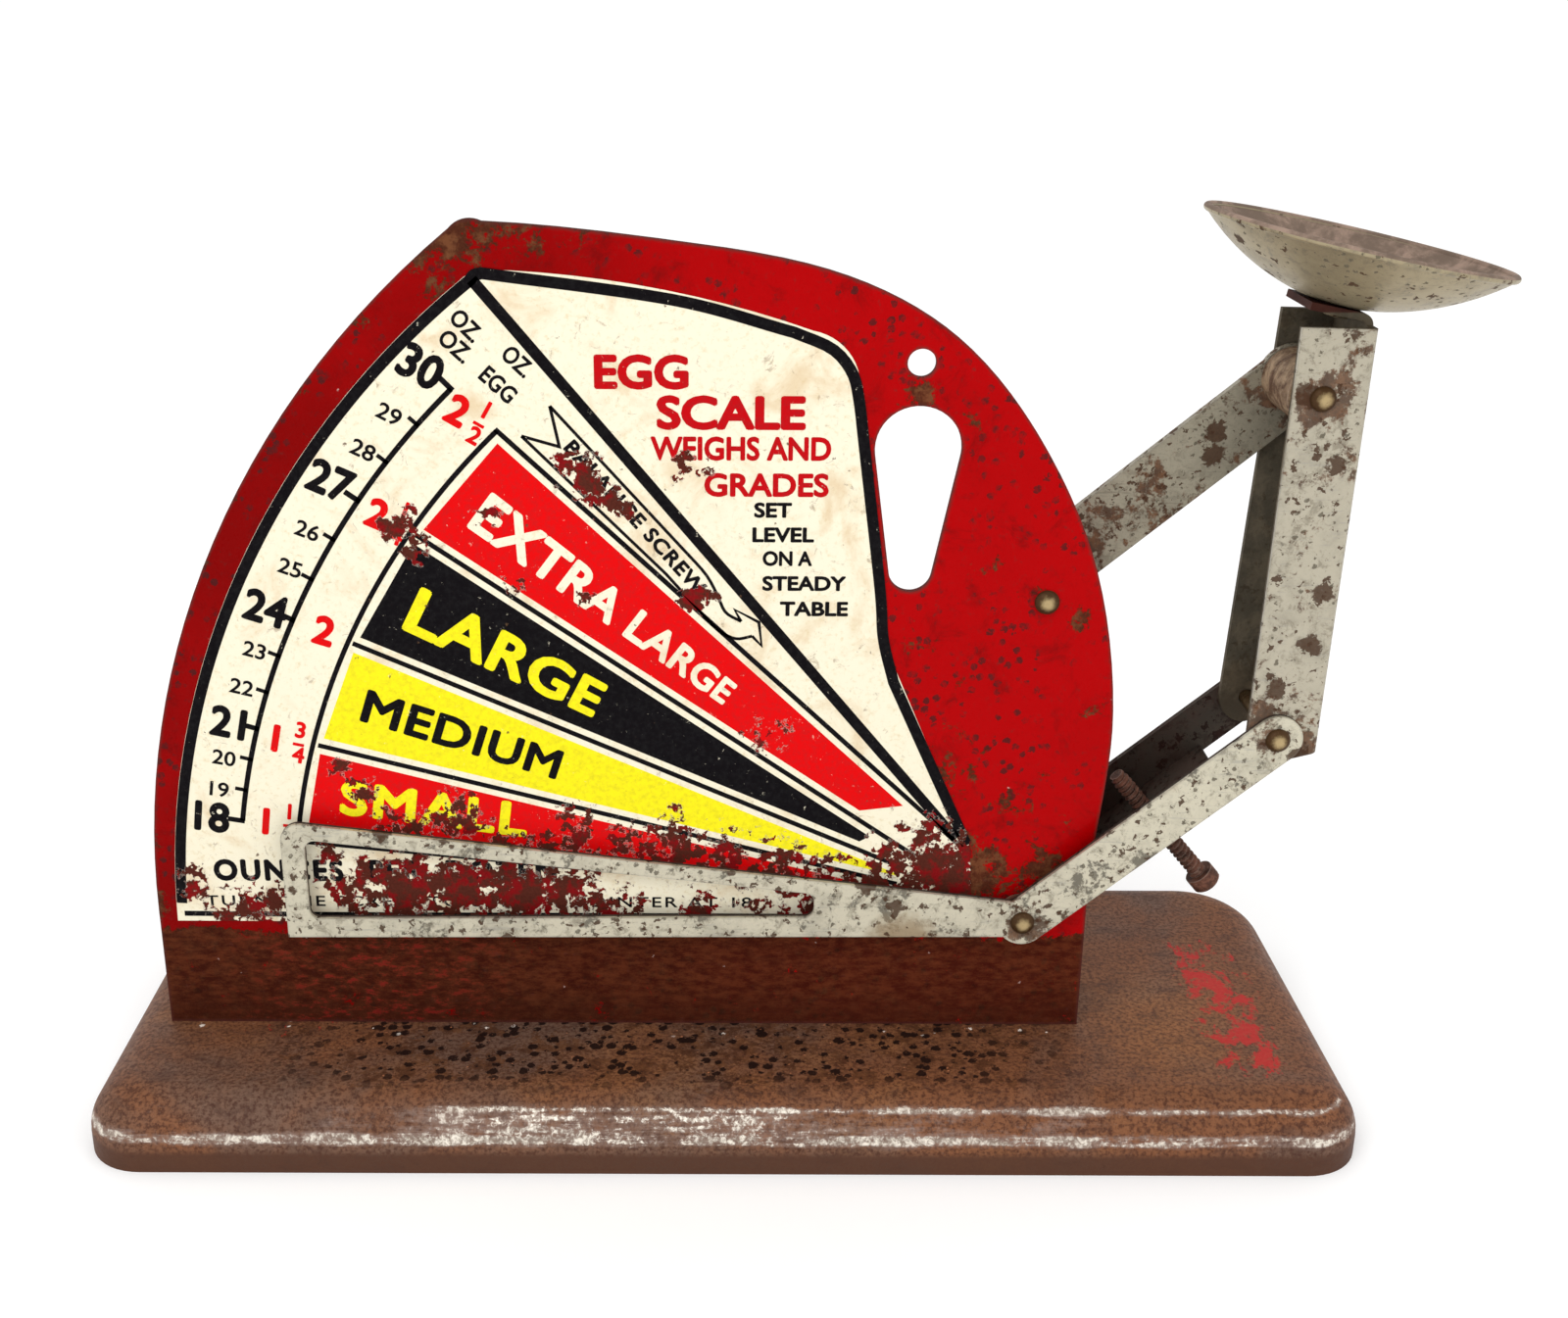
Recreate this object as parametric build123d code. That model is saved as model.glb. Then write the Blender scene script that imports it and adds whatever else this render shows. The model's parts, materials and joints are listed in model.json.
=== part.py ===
from build123d import *
import math
import os

# Antique egg scale: a red sheet-metal dial on a pressed steel tray, with a four-bar linkage that
# keeps the egg pan level.  Millimetres.  X runs to the right along the dial, Y runs to the back,
# Z is up, and the origin is the centre of the tray's footprint on the table.

# Pressed tray
TRAY_LENGTH = 178.0
TRAY_WIDTH = 69.0
TRAY_HEIGHT = 10.0
TRAY_FRONT_CORNER = 8.6
TRAY_REAR_CORNER = 13.0
TRAY_EDGE = 7.0
SHEET = 1.0

# The four pivots of the linkage, in X and Z, at rest against the stop
LEVER_PIVOT = Vector(42.3, 0, 28.6)
LINK_PIVOT = Vector(43.2, 0, 75.8)
ARM_LENGTH = 43.7
ARM_ANGLE = 40.5
ARM_WAY = Vector(math.cos(math.radians(ARM_ANGLE)), 0, math.sin(math.radians(ARM_ANGLE)))
ARM_SIDE = Vector(-ARM_WAY.Z, 0, ARM_WAY.X)
POST_FOOT_PIVOT = LEVER_PIVOT + ARM_WAY * ARM_LENGTH
POST_HEAD_PIVOT = LINK_PIVOT + ARM_WAY * ARM_LENGTH
POST_LEAN = math.degrees(math.atan2(LINK_PIVOT.X - LEVER_PIVOT.X, LINK_PIVOT.Z - LEVER_PIVOT.Z))

# Fore and aft layout, each as the Y of a front face
DIAL_Y = -12.2
LEVER_Y = -15.2
LEVER_DEPTH = 18.0
POST_Y = -14.1
POST_DEPTH = 15.8
LINK_Y = -1.0
LINK_SHEET = 1.2
BRACKET_Y = 0.6
MIDDLE_Y = LEVER_Y + LEVER_DEPTH / 2

# Pins and rivets
PIN_RADIUS = 1.1
SNUG_FIT = 0.02
SNUG_HOLE = PIN_RADIUS + SNUG_FIT
RUNNING_HOLE = PIN_RADIUS + 0.05
OPEN_PIVOT_HOLE = PIN_RADIUS + 0.12
HEAD_RADIUS = 1.7
HEAD_HEIGHT = 0.7
SIDE_PLAY = 0.05
TUBE_RADIUS = 4.3
THIN_TUBE_RADIUS = 3.0
FOOT_RIVET_RADIUS = 1.4
FOOT_RIVET_HEAD = 2.6

# Dial plate
DIAL_RADIUS = 123.6
DIAL_RIGHT = 51.9
DIAL_FOOT_DEPTH = 10.0
DIAL_CORNER_ANGLE = 128.8
DIAL_CORNER_WAY = (0.65, 0.76)
DIAL_TOP_LEFT = (-31.0, 125.8)
DIAL_SHOULDER = [(-5.3, 123.3), (13.1, 119.9), (28.8, 112.1), (42.3, 96.1), (50.0, 79.1), (53.3, 61.0)]
DIAL_SIDE_TOP = (53.0, 47.0)
DIAL_SIDE_FOOT = 36.0
HANG_HOLE = (25.0, 108.2)
HANG_HOLE_RADIUS = 1.85
WINDOW_TOP = (25.0, 96.9)
WINDOW_TOP_RADIUS = 5.7
WINDOW_FOOT = (24.6, 80.1)
WINDOW_FOOT_RADIUS = 2.9
DIAL_RIVETS = (-62.0, -15.0, 32.0)
DIAL_RIVET_Y = -6.5

# Printed label on the dial
LABEL_CENTRE = (41.1, 25.1)
LABEL_RADIUS = 119.8
LABEL_SHEET = 0.12
LABEL_FOOT = 26.8
LABEL_TOP_ANGLE = 128.4
LABEL_TOP_EDGE = [(-31.5, 119.9), (-6.0, 117.0), (11.0, 112.3)]
LABEL_CORNER = [(11.0, 112.3), (15.2, 110.0), (17.0, 106.5)]
LABEL_RIGHT_EDGE = [(17.0, 106.5), (21.6, 69.5), (34.6, 39.6), (35.6, LABEL_FOOT)]

# Rear bracket
BRACKET_LEFT = 37.6
BRACKET_RIGHT = 49.2
BRACKET_FOOT_DEPTH = 9.0
BRACKET_RIVETS = (39.6, 47.2)
BRACKET_RIVET_Y = 6.2
STOP_LEFT = 35.6
STOP_TOP = 50.0
STOP_HEIGHT = 4.0

# Pointer lever
ARM_WIDTH = 6.9
POINTER_LEFT = -62.2
POINTER_TOP_LEFT = 43.9
POINTER_FOOT_LEFT = 25.8
POINTER_TOP_RIGHT = 31.6
POINTER_FOOT_RIGHT = 26.3
POINTER_CORNER = 2.6
POINTER_WINDOW = [(-58.9, 28.8), (-58.9, 41.2), (12.6, 33.0), (12.6, 29.3)]
POINTER_WINDOW_CORNER = 1.4
WEB_START = 12.5
WEB_END = 34.0

# Upper link and its counterweight
LINK_WIDTH = 9.6
LINK_END_RADIUS = 4.5
LINK_DROP = 0.6
WEIGHT_REACH = 48.7
WEIGHT_BEARING = 241.1
WEIGHT_RADIUS = 15.5
WEIGHT_FRONT_Y = -10.2
WEIGHT_REAR_END = 7.0
WEIGHT_PAD_RADIUS = 13.5
WEIGHT_RIVET_SPREAD = 8.0
WEIGHT_RIVET_RADIUS = 1.6
WEIGHT_RIVET_HEAD = 2.5
WEIGHT_BEVEL = 0.8

# Post that carries the pan, drawn from its foot pivot
POST_LEFT = -3.9
POST_RIGHT = 6.0
POST_TOP = 56.3
POST_REAR_TAPER = 1.8
POST_WEB_FOOT = -2.2
TAB_WIDTH = 10.6
TAB_LEFT = -2.3
TAB_SLOPE = 10.4
TAB_KNEE = 57.2
TAB_BEND = 1.2

# Egg pan
PAN_RADIUS = 19.7
PAN_DEPTH = 7.8
PAN_SHEET = 0.8
PAN_FLAT = 3.5
PAN_SEAT_X = 3.0
RIM_RADIUS = 0.5
PAN_RIVET_HEAD = 1.8

# Balance screw
SCREW_ALONG_ARM = 22.7
SCREW_RADIUS = 1.25
SCREW_HOLE = SCREW_RADIUS + 0.08
SCREW_TIP = 6.4
SCREW_HEAD_TOP = -15.1
SCREW_HEAD_RADIUS = 2.15
SCREW_HEAD_HEIGHT = 2.6
SCREW_SLOT = 0.6


def upright(y):
    """A plane facing the front at depth y, whose own x and y are the object's X and Z."""
    return Plane(origin=(0, y, 0), x_dir=(1, 0, 0), z_dir=(0, -1, 0))


def sheet(outline, front, thickness):
    """The outline, drawn in X and Z, as a plate that runs back from its front face."""
    return extrude(upright(front) * outline, amount=thickness, dir=(0, 1, 0))


def flat(point):
    """A pivot's X and Z, for drawing on an upright plane."""
    return (point.X, point.Z)


def disc(point, radius, front, back):
    """A round bar at a point of the linkage, from its front face to its back face."""
    return sheet(Pos(*flat(point)) * Circle(radius), front, back - front)


def tube(point, outer, inner, front, back):
    return disc(point, outer, front, back) - disc(point, inner, front - 1, back + 1)


def low_head(radius, height):
    """A flat-topped rivet head with a well rounded edge, standing on the ground plane."""
    head = extrude(Circle(radius), height)
    return fillet(head.edges().group_by(Axis.Z)[-1], height * 0.8)


def head_on(point, radius, face, way):
    """A rivet head on a face at depth y, which stands to the front (-1) or to the back (1)."""
    turned = Rot(90 if way < 0 else -90, 0, 0) * low_head(radius, HEAD_HEIGHT)
    return Pos(point.X, face, point.Z) * turned


def pivot_pin(point, front, back):
    """A riveted pin that holds sheets between its two heads."""
    pin = disc(point, PIN_RADIUS, front, back)
    pin += head_on(point, HEAD_RADIUS, front, -1)
    pin += head_on(point, HEAD_RADIUS, back, 1)
    return pin


def foot_rivets(places, y, sheet_top):
    """Short rivets that hold a foot flange down on the tray."""
    shank_foot = TRAY_HEIGHT - SHEET
    head = low_head(FOOT_RIVET_HEAD, HEAD_HEIGHT)
    shank = extrude(Circle(FOOT_RIVET_RADIUS), sheet_top - shank_foot)
    rivets = []
    for x in places:
        rivet = Pos(x, y, shank_foot) * shank + Pos(x, y, sheet_top) * head
        rivet += Pos(x, y, shank_foot) * Rot(180, 0, 0) * head
        rivets.append(rivet)
    return Compound(rivets)


def bar_between(start, end, width):
    """A straight bar with square ends, drawn in X and Z between two points."""
    way = end - start
    middle = (start + end) * 0.5
    turn = math.degrees(math.atan2(way.Z, way.X))
    return Pos(*flat(middle)) * Rot(0, 0, turn) * Rectangle(way.length, width)


def slot_between(start, end, radius):
    """A bar with round ends, drawn in X and Z between two pivots."""
    ends = Pos(*flat(start)) * Circle(radius) + Pos(*flat(end)) * Circle(radius)
    return bar_between(start, end, 2 * radius) + ends


def along_arm(s, t):
    """A point at s along the lever's arm from its pivot and t to the arm's upper side."""
    return LEVER_PIVOT + ARM_WAY * s + ARM_SIDE * t


def arm_block(s_from, s_to, t_from, t_to, front, back):
    """A block whose sides lie along and across the lever's arm."""
    corners = [
        along_arm(s_from, t_from),
        along_arm(s_to, t_from),
        along_arm(s_to, t_to),
        along_arm(s_from, t_to),
    ]
    return sheet(Polygon(*[flat(corner) for corner in corners], align=None), front, back - front)


def in_post(shape):
    """Puts a shape drawn from the post's foot pivot in its place, with the post's slight lean."""
    return Pos(POST_FOOT_PIVOT.X, 0, POST_FOOT_PIVOT.Z) * Rot(0, POST_LEAN, 0) * shape


def on_pan_seat(shape):
    """Puts a shape drawn on a level seat at the top of the post's sloping tab."""
    seat_x = PAN_SEAT_X
    slope = math.tan(math.radians(TAB_SLOPE))
    top_offset = SHEET / 2 / math.cos(math.radians(TAB_SLOPE))
    knee_x = POST_RIGHT - SHEET / 2
    seat_z = TAB_KNEE + (knee_x - seat_x) * slope + top_offset
    return in_post(Pos(seat_x, MIDDLE_Y, seat_z) * Rot(0, TAB_SLOPE, 0) * shape)


def base_tray():
    def shell(inset):
        outline = Rectangle(TRAY_LENGTH - 2 * inset, TRAY_WIDTH - 2 * inset)
        front = outline.vertices().filter_by(lambda corner: corner.Y < 0)
        outline = fillet(front, TRAY_FRONT_CORNER - inset)
        rear = outline.vertices().group_by(Axis.Y)[-1]
        outline = fillet(rear, TRAY_REAR_CORNER - inset)
        block = extrude(outline, TRAY_HEIGHT - inset)
        return fillet(block.edges().group_by(Axis.Z)[-1], TRAY_EDGE - inset)

    tray = shell(0) - shell(SHEET)
    hole = Cylinder(FOOT_RIVET_RADIUS + SNUG_FIT, 4 * SHEET)
    for x in DIAL_RIVETS:
        tray -= Pos(x, DIAL_RIVET_Y, TRAY_HEIGHT) * hole
    for x in BRACKET_RIVETS:
        tray -= Pos(x, BRACKET_RIVET_Y, TRAY_HEIGHT) * hole
    return tray


def dial_outline():
    """Round at the left about the lever's pivot, with a long shoulder that falls to the right."""
    centre = flat(LEVER_PIVOT)
    left = centre[0] - DIAL_RADIUS
    corner_angle = math.radians(DIAL_CORNER_ANGLE)
    middle_angle = (math.pi + corner_angle) / 2

    def on_rim(angle):
        return (centre[0] + DIAL_RADIUS * math.cos(angle), centre[1] + DIAL_RADIUS * math.sin(angle))

    outline = Curve()
    outline += Line((left, TRAY_HEIGHT), (left, centre[1]))
    outline += ThreePointArc((left, centre[1]), on_rim(middle_angle), on_rim(corner_angle))
    outline += TangentArc(on_rim(corner_angle), DIAL_TOP_LEFT, tangent=DIAL_CORNER_WAY)
    outline += Spline(DIAL_TOP_LEFT, *DIAL_SHOULDER, DIAL_SIDE_TOP, tangents=((1, -0.04), (-0.09, -1)))
    outline += Line(DIAL_SIDE_TOP, (DIAL_RIGHT, DIAL_SIDE_FOOT))
    outline += Line((DIAL_RIGHT, DIAL_SIDE_FOOT), (DIAL_RIGHT, TRAY_HEIGHT))
    outline += Line((DIAL_RIGHT, TRAY_HEIGHT), (left, TRAY_HEIGHT))
    return make_face(outline)


def dial_plate():
    window = make_hull(
        (Pos(*WINDOW_TOP) * Circle(WINDOW_TOP_RADIUS)).edges()
        + (Pos(*WINDOW_FOOT) * Circle(WINDOW_FOOT_RADIUS)).edges()
    )
    outline = dial_outline() - window - Pos(*HANG_HOLE) * Circle(HANG_HOLE_RADIUS)
    for pivot in (LEVER_PIVOT, LINK_PIVOT):
        outline -= Pos(*flat(pivot)) * Circle(SNUG_HOLE)
    plate = sheet(outline, DIAL_Y, SHEET)
    foot_left = LEVER_PIVOT.X - DIAL_RADIUS + 1
    foot_length = DIAL_RIGHT - 1 - foot_left
    foot = Pos(foot_left + foot_length / 2, DIAL_Y + DIAL_FOOT_DEPTH / 2, TRAY_HEIGHT + SHEET / 2) * Box(
        foot_length, DIAL_FOOT_DEPTH, SHEET
    )
    plate += foot
    for x in DIAL_RIVETS:
        plate -= Pos(x, DIAL_RIVET_Y, TRAY_HEIGHT) * Cylinder(FOOT_RIVET_RADIUS + SNUG_FIT, 4 * SHEET)
    return plate


def dial_label():
    """The printed sheet: a fan on the left that ends in a point beside the lever's pivot."""
    centre_x, centre_z = LABEL_CENTRE

    def on_arc(angle):
        turn = math.radians(angle)
        return (centre_x + LABEL_RADIUS * math.cos(turn), centre_z + LABEL_RADIUS * math.sin(turn))

    foot_angle = 180 - math.degrees(math.asin((LABEL_FOOT - centre_z) / LABEL_RADIUS))
    top = on_arc(LABEL_TOP_ANGLE)
    outline = Curve()
    outline += ThreePointArc(on_arc(foot_angle), on_arc((foot_angle + LABEL_TOP_ANGLE) / 2), top)
    outline += Line(top, LABEL_TOP_EDGE[0])
    outline += ThreePointArc(*LABEL_TOP_EDGE)
    outline += ThreePointArc(*LABEL_CORNER)
    outline += Polyline(*LABEL_RIGHT_EDGE)
    outline += Line(LABEL_RIGHT_EDGE[-1], on_arc(foot_angle))
    return sheet(make_face(outline), DIAL_Y - LABEL_SHEET, LABEL_SHEET)


def rear_bracket():
    width = BRACKET_RIGHT - BRACKET_LEFT
    middle = (BRACKET_LEFT + BRACKET_RIGHT) / 2
    strip_height = LINK_PIVOT.Z - TRAY_HEIGHT
    outline = Pos(middle, TRAY_HEIGHT + strip_height / 2) * Rectangle(width, strip_height)
    outline += Pos(middle, LINK_PIVOT.Z) * Circle(width / 2)
    for pivot in (LEVER_PIVOT, LINK_PIVOT):
        outline -= Pos(*flat(pivot)) * Circle(SNUG_HOLE)
    bracket = sheet(outline, BRACKET_Y, SHEET)
    foot_y = BRACKET_Y + BRACKET_FOOT_DEPTH / 2
    bracket += Pos(middle, foot_y, TRAY_HEIGHT + SHEET / 2) * Box(width, BRACKET_FOOT_DEPTH, SHEET)
    stop_width = BRACKET_LEFT - STOP_LEFT + SHEET
    stop_front = LINK_Y - SHEET / 2
    stop_depth = BRACKET_Y + SHEET - stop_front
    stop = Box(stop_width, stop_depth, STOP_HEIGHT, align=(Align.MIN, Align.MIN, Align.MAX))
    bracket += Pos(STOP_LEFT, stop_front, STOP_TOP) * stop
    for x in BRACKET_RIVETS:
        bracket -= Pos(x, BRACKET_RIVET_Y, TRAY_HEIGHT) * Cylinder(FOOT_RIVET_RADIUS + SNUG_FIT, 4 * SHEET)
    return bracket


def pointer_lever():
    """The front limb with its long window, the rear limb, and the web that joins their lower edges."""
    half = ARM_WIDTH / 2
    arm = slot_between(LEVER_PIVOT, POST_FOOT_PIVOT, half)
    pointer = Polygon(
        (POINTER_LEFT, POINTER_FOOT_LEFT),
        (POINTER_LEFT, POINTER_TOP_LEFT),
        (LEVER_PIVOT.X, POINTER_TOP_RIGHT),
        (LEVER_PIVOT.X, POINTER_FOOT_RIGHT),
        align=None,
    )
    pointer = fillet(pointer.vertices().group_by(Axis.X)[0].sort_by(Axis.Y)[-1], POINTER_CORNER)
    window = Polygon(*POINTER_WINDOW, align=None)
    window = fillet(window.vertices(), POINTER_WINDOW_CORNER)
    holes = Pos(*flat(LEVER_PIVOT)) * Circle(RUNNING_HOLE)
    holes += Pos(*flat(POST_FOOT_PIVOT)) * Circle(SNUG_HOLE)
    front_limb = sheet(arm + pointer - window - holes, LEVER_Y, SHEET)
    back = LEVER_Y + LEVER_DEPTH
    rear_limb = sheet(arm - holes, back - SHEET, SHEET)
    web = arm_block(WEB_START, WEB_END, -half, SHEET - half, LEVER_Y, back)
    lever = front_limb + rear_limb + web
    screw_way = Plane(origin=along_arm(SCREW_ALONG_ARM, 0) + Vector(0, MIDDLE_Y, 0), z_dir=ARM_SIDE)
    return lever - screw_way * Cylinder(SCREW_HOLE, 3 * ARM_WIDTH)


def weight_centre():
    bearing = math.radians(WEIGHT_BEARING)
    return LINK_PIVOT + Vector(math.cos(bearing), 0, math.sin(bearing)) * WEIGHT_REACH


def weight_rivet_places():
    """Two places on the weight, to either side of its centre along the link's tail."""
    way = (weight_centre() - LINK_PIVOT).normalized()
    return [weight_centre() + way * side * WEIGHT_RIVET_SPREAD for side in (-1, 1)]


def upper_link():
    """A bell crank: one arm to the post's head, the other to the counterweight."""
    half = LINK_WIDTH / 2
    dropped = ARM_SIDE * -LINK_DROP
    outline = bar_between(LINK_PIVOT + dropped, POST_HEAD_PIVOT + dropped, LINK_WIDTH)
    outline += bar_between(LINK_PIVOT, weight_centre(), LINK_WIDTH)
    outline += Pos(*flat(LINK_PIVOT)) * Circle(half + LINK_DROP)
    outline += Pos(*flat(POST_HEAD_PIVOT)) * Circle(LINK_END_RADIUS)
    outline += Pos(*flat(weight_centre())) * Circle(WEIGHT_PAD_RADIUS)
    outline -= Pos(*flat(LINK_PIVOT)) * Circle(RUNNING_HOLE)
    outline -= Pos(*flat(POST_HEAD_PIVOT)) * Circle(OPEN_PIVOT_HOLE)
    for place in weight_rivet_places():
        outline -= Pos(*flat(place)) * Circle(WEIGHT_RIVET_RADIUS + SNUG_FIT)
    return sheet(outline, LINK_Y, LINK_SHEET)


def counterweight(front, back, chamfered_y):
    """One steel disc of the pair that is riveted to the link's tail, bevelled on its outer face."""
    weight = disc(weight_centre(), WEIGHT_RADIUS, front, back)
    edges = weight.edges().filter_by(GeomType.CIRCLE).filter_by_position(
        Axis.Y, chamfered_y - 0.01, chamfered_y + 0.01
    )
    weight = chamfer(edges, WEIGHT_BEVEL)
    for place in weight_rivet_places():
        weight -= disc(place, WEIGHT_RIVET_RADIUS + SNUG_FIT, front - 1, back + 1)
    return weight


def counterweight_rivets():
    rivets = []
    for place in weight_rivet_places():
        rivet = disc(place, WEIGHT_RIVET_RADIUS, WEIGHT_FRONT_Y, WEIGHT_REAR_END)
        rivet += head_on(place, WEIGHT_RIVET_HEAD, WEIGHT_FRONT_Y, -1)
        rivet += head_on(place, WEIGHT_RIVET_HEAD, WEIGHT_REAR_END, 1)
        rivets.append(rivet)
    return Compound(rivets)


def post_strip(front, left_taper):
    """One side of the channel, round at its foot, whose left edge may lean in towards the top."""
    foot = POST_LEFT * math.cos(math.radians(45))
    outline = Curve()
    outline += Line((POST_LEFT + left_taper, POST_TOP), (POST_LEFT, 0))
    outline += ThreePointArc((POST_LEFT, 0), (foot, foot), (0, POST_LEFT))
    outline += Line((0, POST_LEFT), (POST_RIGHT, POST_WEB_FOOT))
    outline += Line((POST_RIGHT, POST_WEB_FOOT), (POST_RIGHT, POST_TOP))
    outline += Line((POST_RIGHT, POST_TOP), (POST_LEFT + left_taper, POST_TOP))
    holes = Circle(RUNNING_HOLE)
    holes += Pos(0, (POST_HEAD_PIVOT - POST_FOOT_PIVOT).length) * Circle(SNUG_HOLE)
    return sheet(make_face(outline) - holes, front, SHEET)


def pan_post():
    """A channel open to the left, with its web bent over at the top into a sloping tab."""
    back = POST_Y + POST_DEPTH
    web_left = POST_RIGHT - SHEET
    web_height = POST_TOP - POST_WEB_FOOT
    web = Pos(web_left, POST_Y, POST_WEB_FOOT) * Box(
        SHEET, POST_DEPTH, web_height, align=(Align.MIN, Align.MIN, Align.MIN)
    )
    post = post_strip(POST_Y, 0) + post_strip(back - SHEET, POST_REAR_TAPER) + web
    web_corners = post.edges().filter_by(Axis.Z).group_by(Axis.X)[-1]
    post = fillet(web_corners, SHEET * 0.9)
    web_middle = POST_RIGHT - SHEET / 2
    tab_rise = (web_middle - TAB_LEFT) * math.tan(math.radians(TAB_SLOPE))
    tab_line = FilletPolyline(
        (web_middle, POST_TOP - 3), (web_middle, TAB_KNEE), (TAB_LEFT, TAB_KNEE + tab_rise), radius=TAB_BEND
    )
    post += sheet(trace(tab_line, SHEET), MIDDLE_Y - TAB_WIDTH / 2, TAB_WIDTH)
    return in_post(post) - on_pan_seat(Cylinder(SNUG_HOLE, 4 * SHEET))


def egg_pan():
    """A shallow dish with a beaded rim and a small flat that sits on the tab."""
    sphere_radius = (PAN_RADIUS**2 + PAN_DEPTH**2) / (2 * PAN_DEPTH)
    half_way = PAN_RADIUS * 0.6
    half_height = sphere_radius - math.sqrt(sphere_radius**2 - half_way**2)
    outer = ThreePointArc((PAN_FLAT, 0), (half_way, half_height), (PAN_RADIUS, PAN_DEPTH))
    inner = ThreePointArc(
        (PAN_RADIUS, PAN_DEPTH + PAN_SHEET), (half_way, half_height + PAN_SHEET), (PAN_FLAT, PAN_SHEET)
    )
    profile = Curve() + Line((0, 0), (PAN_FLAT, 0)) + outer + Line(outer @ 1, inner @ 0) + inner
    profile += Line(inner @ 1, (0, PAN_SHEET))
    profile += Line((0, PAN_SHEET), (0, 0))
    bead = Pos(PAN_RADIUS, PAN_DEPTH + PAN_SHEET / 2) * Circle(RIM_RADIUS)
    dish = revolve(Plane.XZ * (make_face(profile) + bead), Axis.Z)
    return on_pan_seat(dish - Cylinder(SNUG_HOLE, 4 * PAN_SHEET))


def pan_rivet():
    shank = Pos(0, 0, -SHEET) * extrude(Circle(PIN_RADIUS), SHEET + PAN_SHEET)
    head = low_head(PAN_RIVET_HEAD, HEAD_HEIGHT)
    rivet = shank + Pos(0, 0, PAN_SHEET) * head + Pos(0, 0, -SHEET) * Rot(180, 0, 0) * head
    return on_pan_seat(rivet)


def balance_screw():
    """A cheese-headed screw through the lever's web, whose plain shank stands for its thread."""
    length = SCREW_TIP - SCREW_HEAD_TOP
    shank = extrude(Circle(SCREW_RADIUS), length)
    head = extrude(Circle(SCREW_HEAD_RADIUS), -SCREW_HEAD_HEIGHT)
    head = fillet(head.edges().group_by(Axis.Z)[0], SCREW_SLOT)
    slot = Pos(0, 0, -SCREW_HEAD_HEIGHT) * Box(SCREW_SLOT, 3 * SCREW_HEAD_RADIUS, 2 * SCREW_SLOT)
    seat = along_arm(SCREW_ALONG_ARM, SCREW_HEAD_TOP) + Vector(0, MIDDLE_Y, 0)
    return Plane(origin=seat, x_dir=(0, 1, 0), z_dir=ARM_SIDE) * (shank + head - slot)


def build_nodes():
    """Every node of the object by its name."""
    dial_back = DIAL_Y + SHEET
    lever_back = LEVER_Y + LEVER_DEPTH
    post_back = POST_Y + POST_DEPTH
    link_back = LINK_Y + LINK_SHEET
    return {
        "base_tray": base_tray(),
        "dial_plate": dial_plate(),
        "dial_label": dial_label(),
        "rear_bracket": rear_bracket(),
        "dial_foot_rivets": foot_rivets(DIAL_RIVETS, DIAL_RIVET_Y, TRAY_HEIGHT + SHEET),
        "bracket_foot_rivets": foot_rivets(BRACKET_RIVETS, BRACKET_RIVET_Y, TRAY_HEIGHT + SHEET),
        "lever_pivot_pin": pivot_pin(LEVER_PIVOT, LEVER_Y - SIDE_PLAY, lever_back + SIDE_PLAY),
        "lever_front_washer": tube(
            LEVER_PIVOT, THIN_TUBE_RADIUS, SNUG_HOLE, LEVER_Y + SHEET + SIDE_PLAY, DIAL_Y
        ),
        "lever_pivot_tube": tube(LEVER_PIVOT, THIN_TUBE_RADIUS, SNUG_HOLE, dial_back, BRACKET_Y),
        "link_pivot_pin": pivot_pin(LINK_PIVOT, DIAL_Y, BRACKET_Y + SHEET),
        "link_pivot_tube": tube(LINK_PIVOT, TUBE_RADIUS, SNUG_HOLE, dial_back, LINK_Y - SIDE_PLAY),
        "link_rear_washer": tube(
            LINK_PIVOT, THIN_TUBE_RADIUS, SNUG_HOLE, link_back + SIDE_PLAY, BRACKET_Y
        ),
        "pointer_lever": pointer_lever(),
        "post_foot_pin": pivot_pin(POST_FOOT_PIVOT, LEVER_Y, lever_back),
        "upper_link": upper_link(),
        "counterweight_front": counterweight(WEIGHT_FRONT_Y, LINK_Y, WEIGHT_FRONT_Y),
        "counterweight_rear": counterweight(link_back, WEIGHT_REAR_END, WEIGHT_REAR_END),
        "counterweight_rivets": counterweight_rivets(),
        "pan_post": pan_post(),
        "post_head_pin": pivot_pin(POST_HEAD_PIVOT, POST_Y, post_back),
        "post_head_tube": tube(
            POST_HEAD_PIVOT, TUBE_RADIUS, SNUG_HOLE, POST_Y + SHEET, LINK_Y - SIDE_PLAY
        ),
        "post_head_washer": tube(
            POST_HEAD_PIVOT, THIN_TUBE_RADIUS, SNUG_HOLE, link_back + SIDE_PLAY, post_back - SHEET
        ),
        "egg_pan": egg_pan(),
        "pan_rivet": pan_rivet(),
        "balance_screw": balance_screw(),
    }


def main():
    os.makedirs("parts", exist_ok=True)
    for name, solid in build_nodes().items():
        export_step(solid, f"parts/{name}.step")


main()
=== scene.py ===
"""Looks of an antique egg scale: a red enamelled dial with a printed label on a pressed steel tray,
and a tinned linkage that carries the egg pan.

Lengths in this file are millimetres, and a mesh is brought to metres as it is made.  Every piece
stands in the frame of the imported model: X to the right along the dial, Y to the back, Z up.
"""

import json
import logging
import math
from dataclasses import dataclass, field
from enum import Enum

import bmesh
import bpy
import numpy as np
from mathutils import Matrix, Vector


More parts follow.
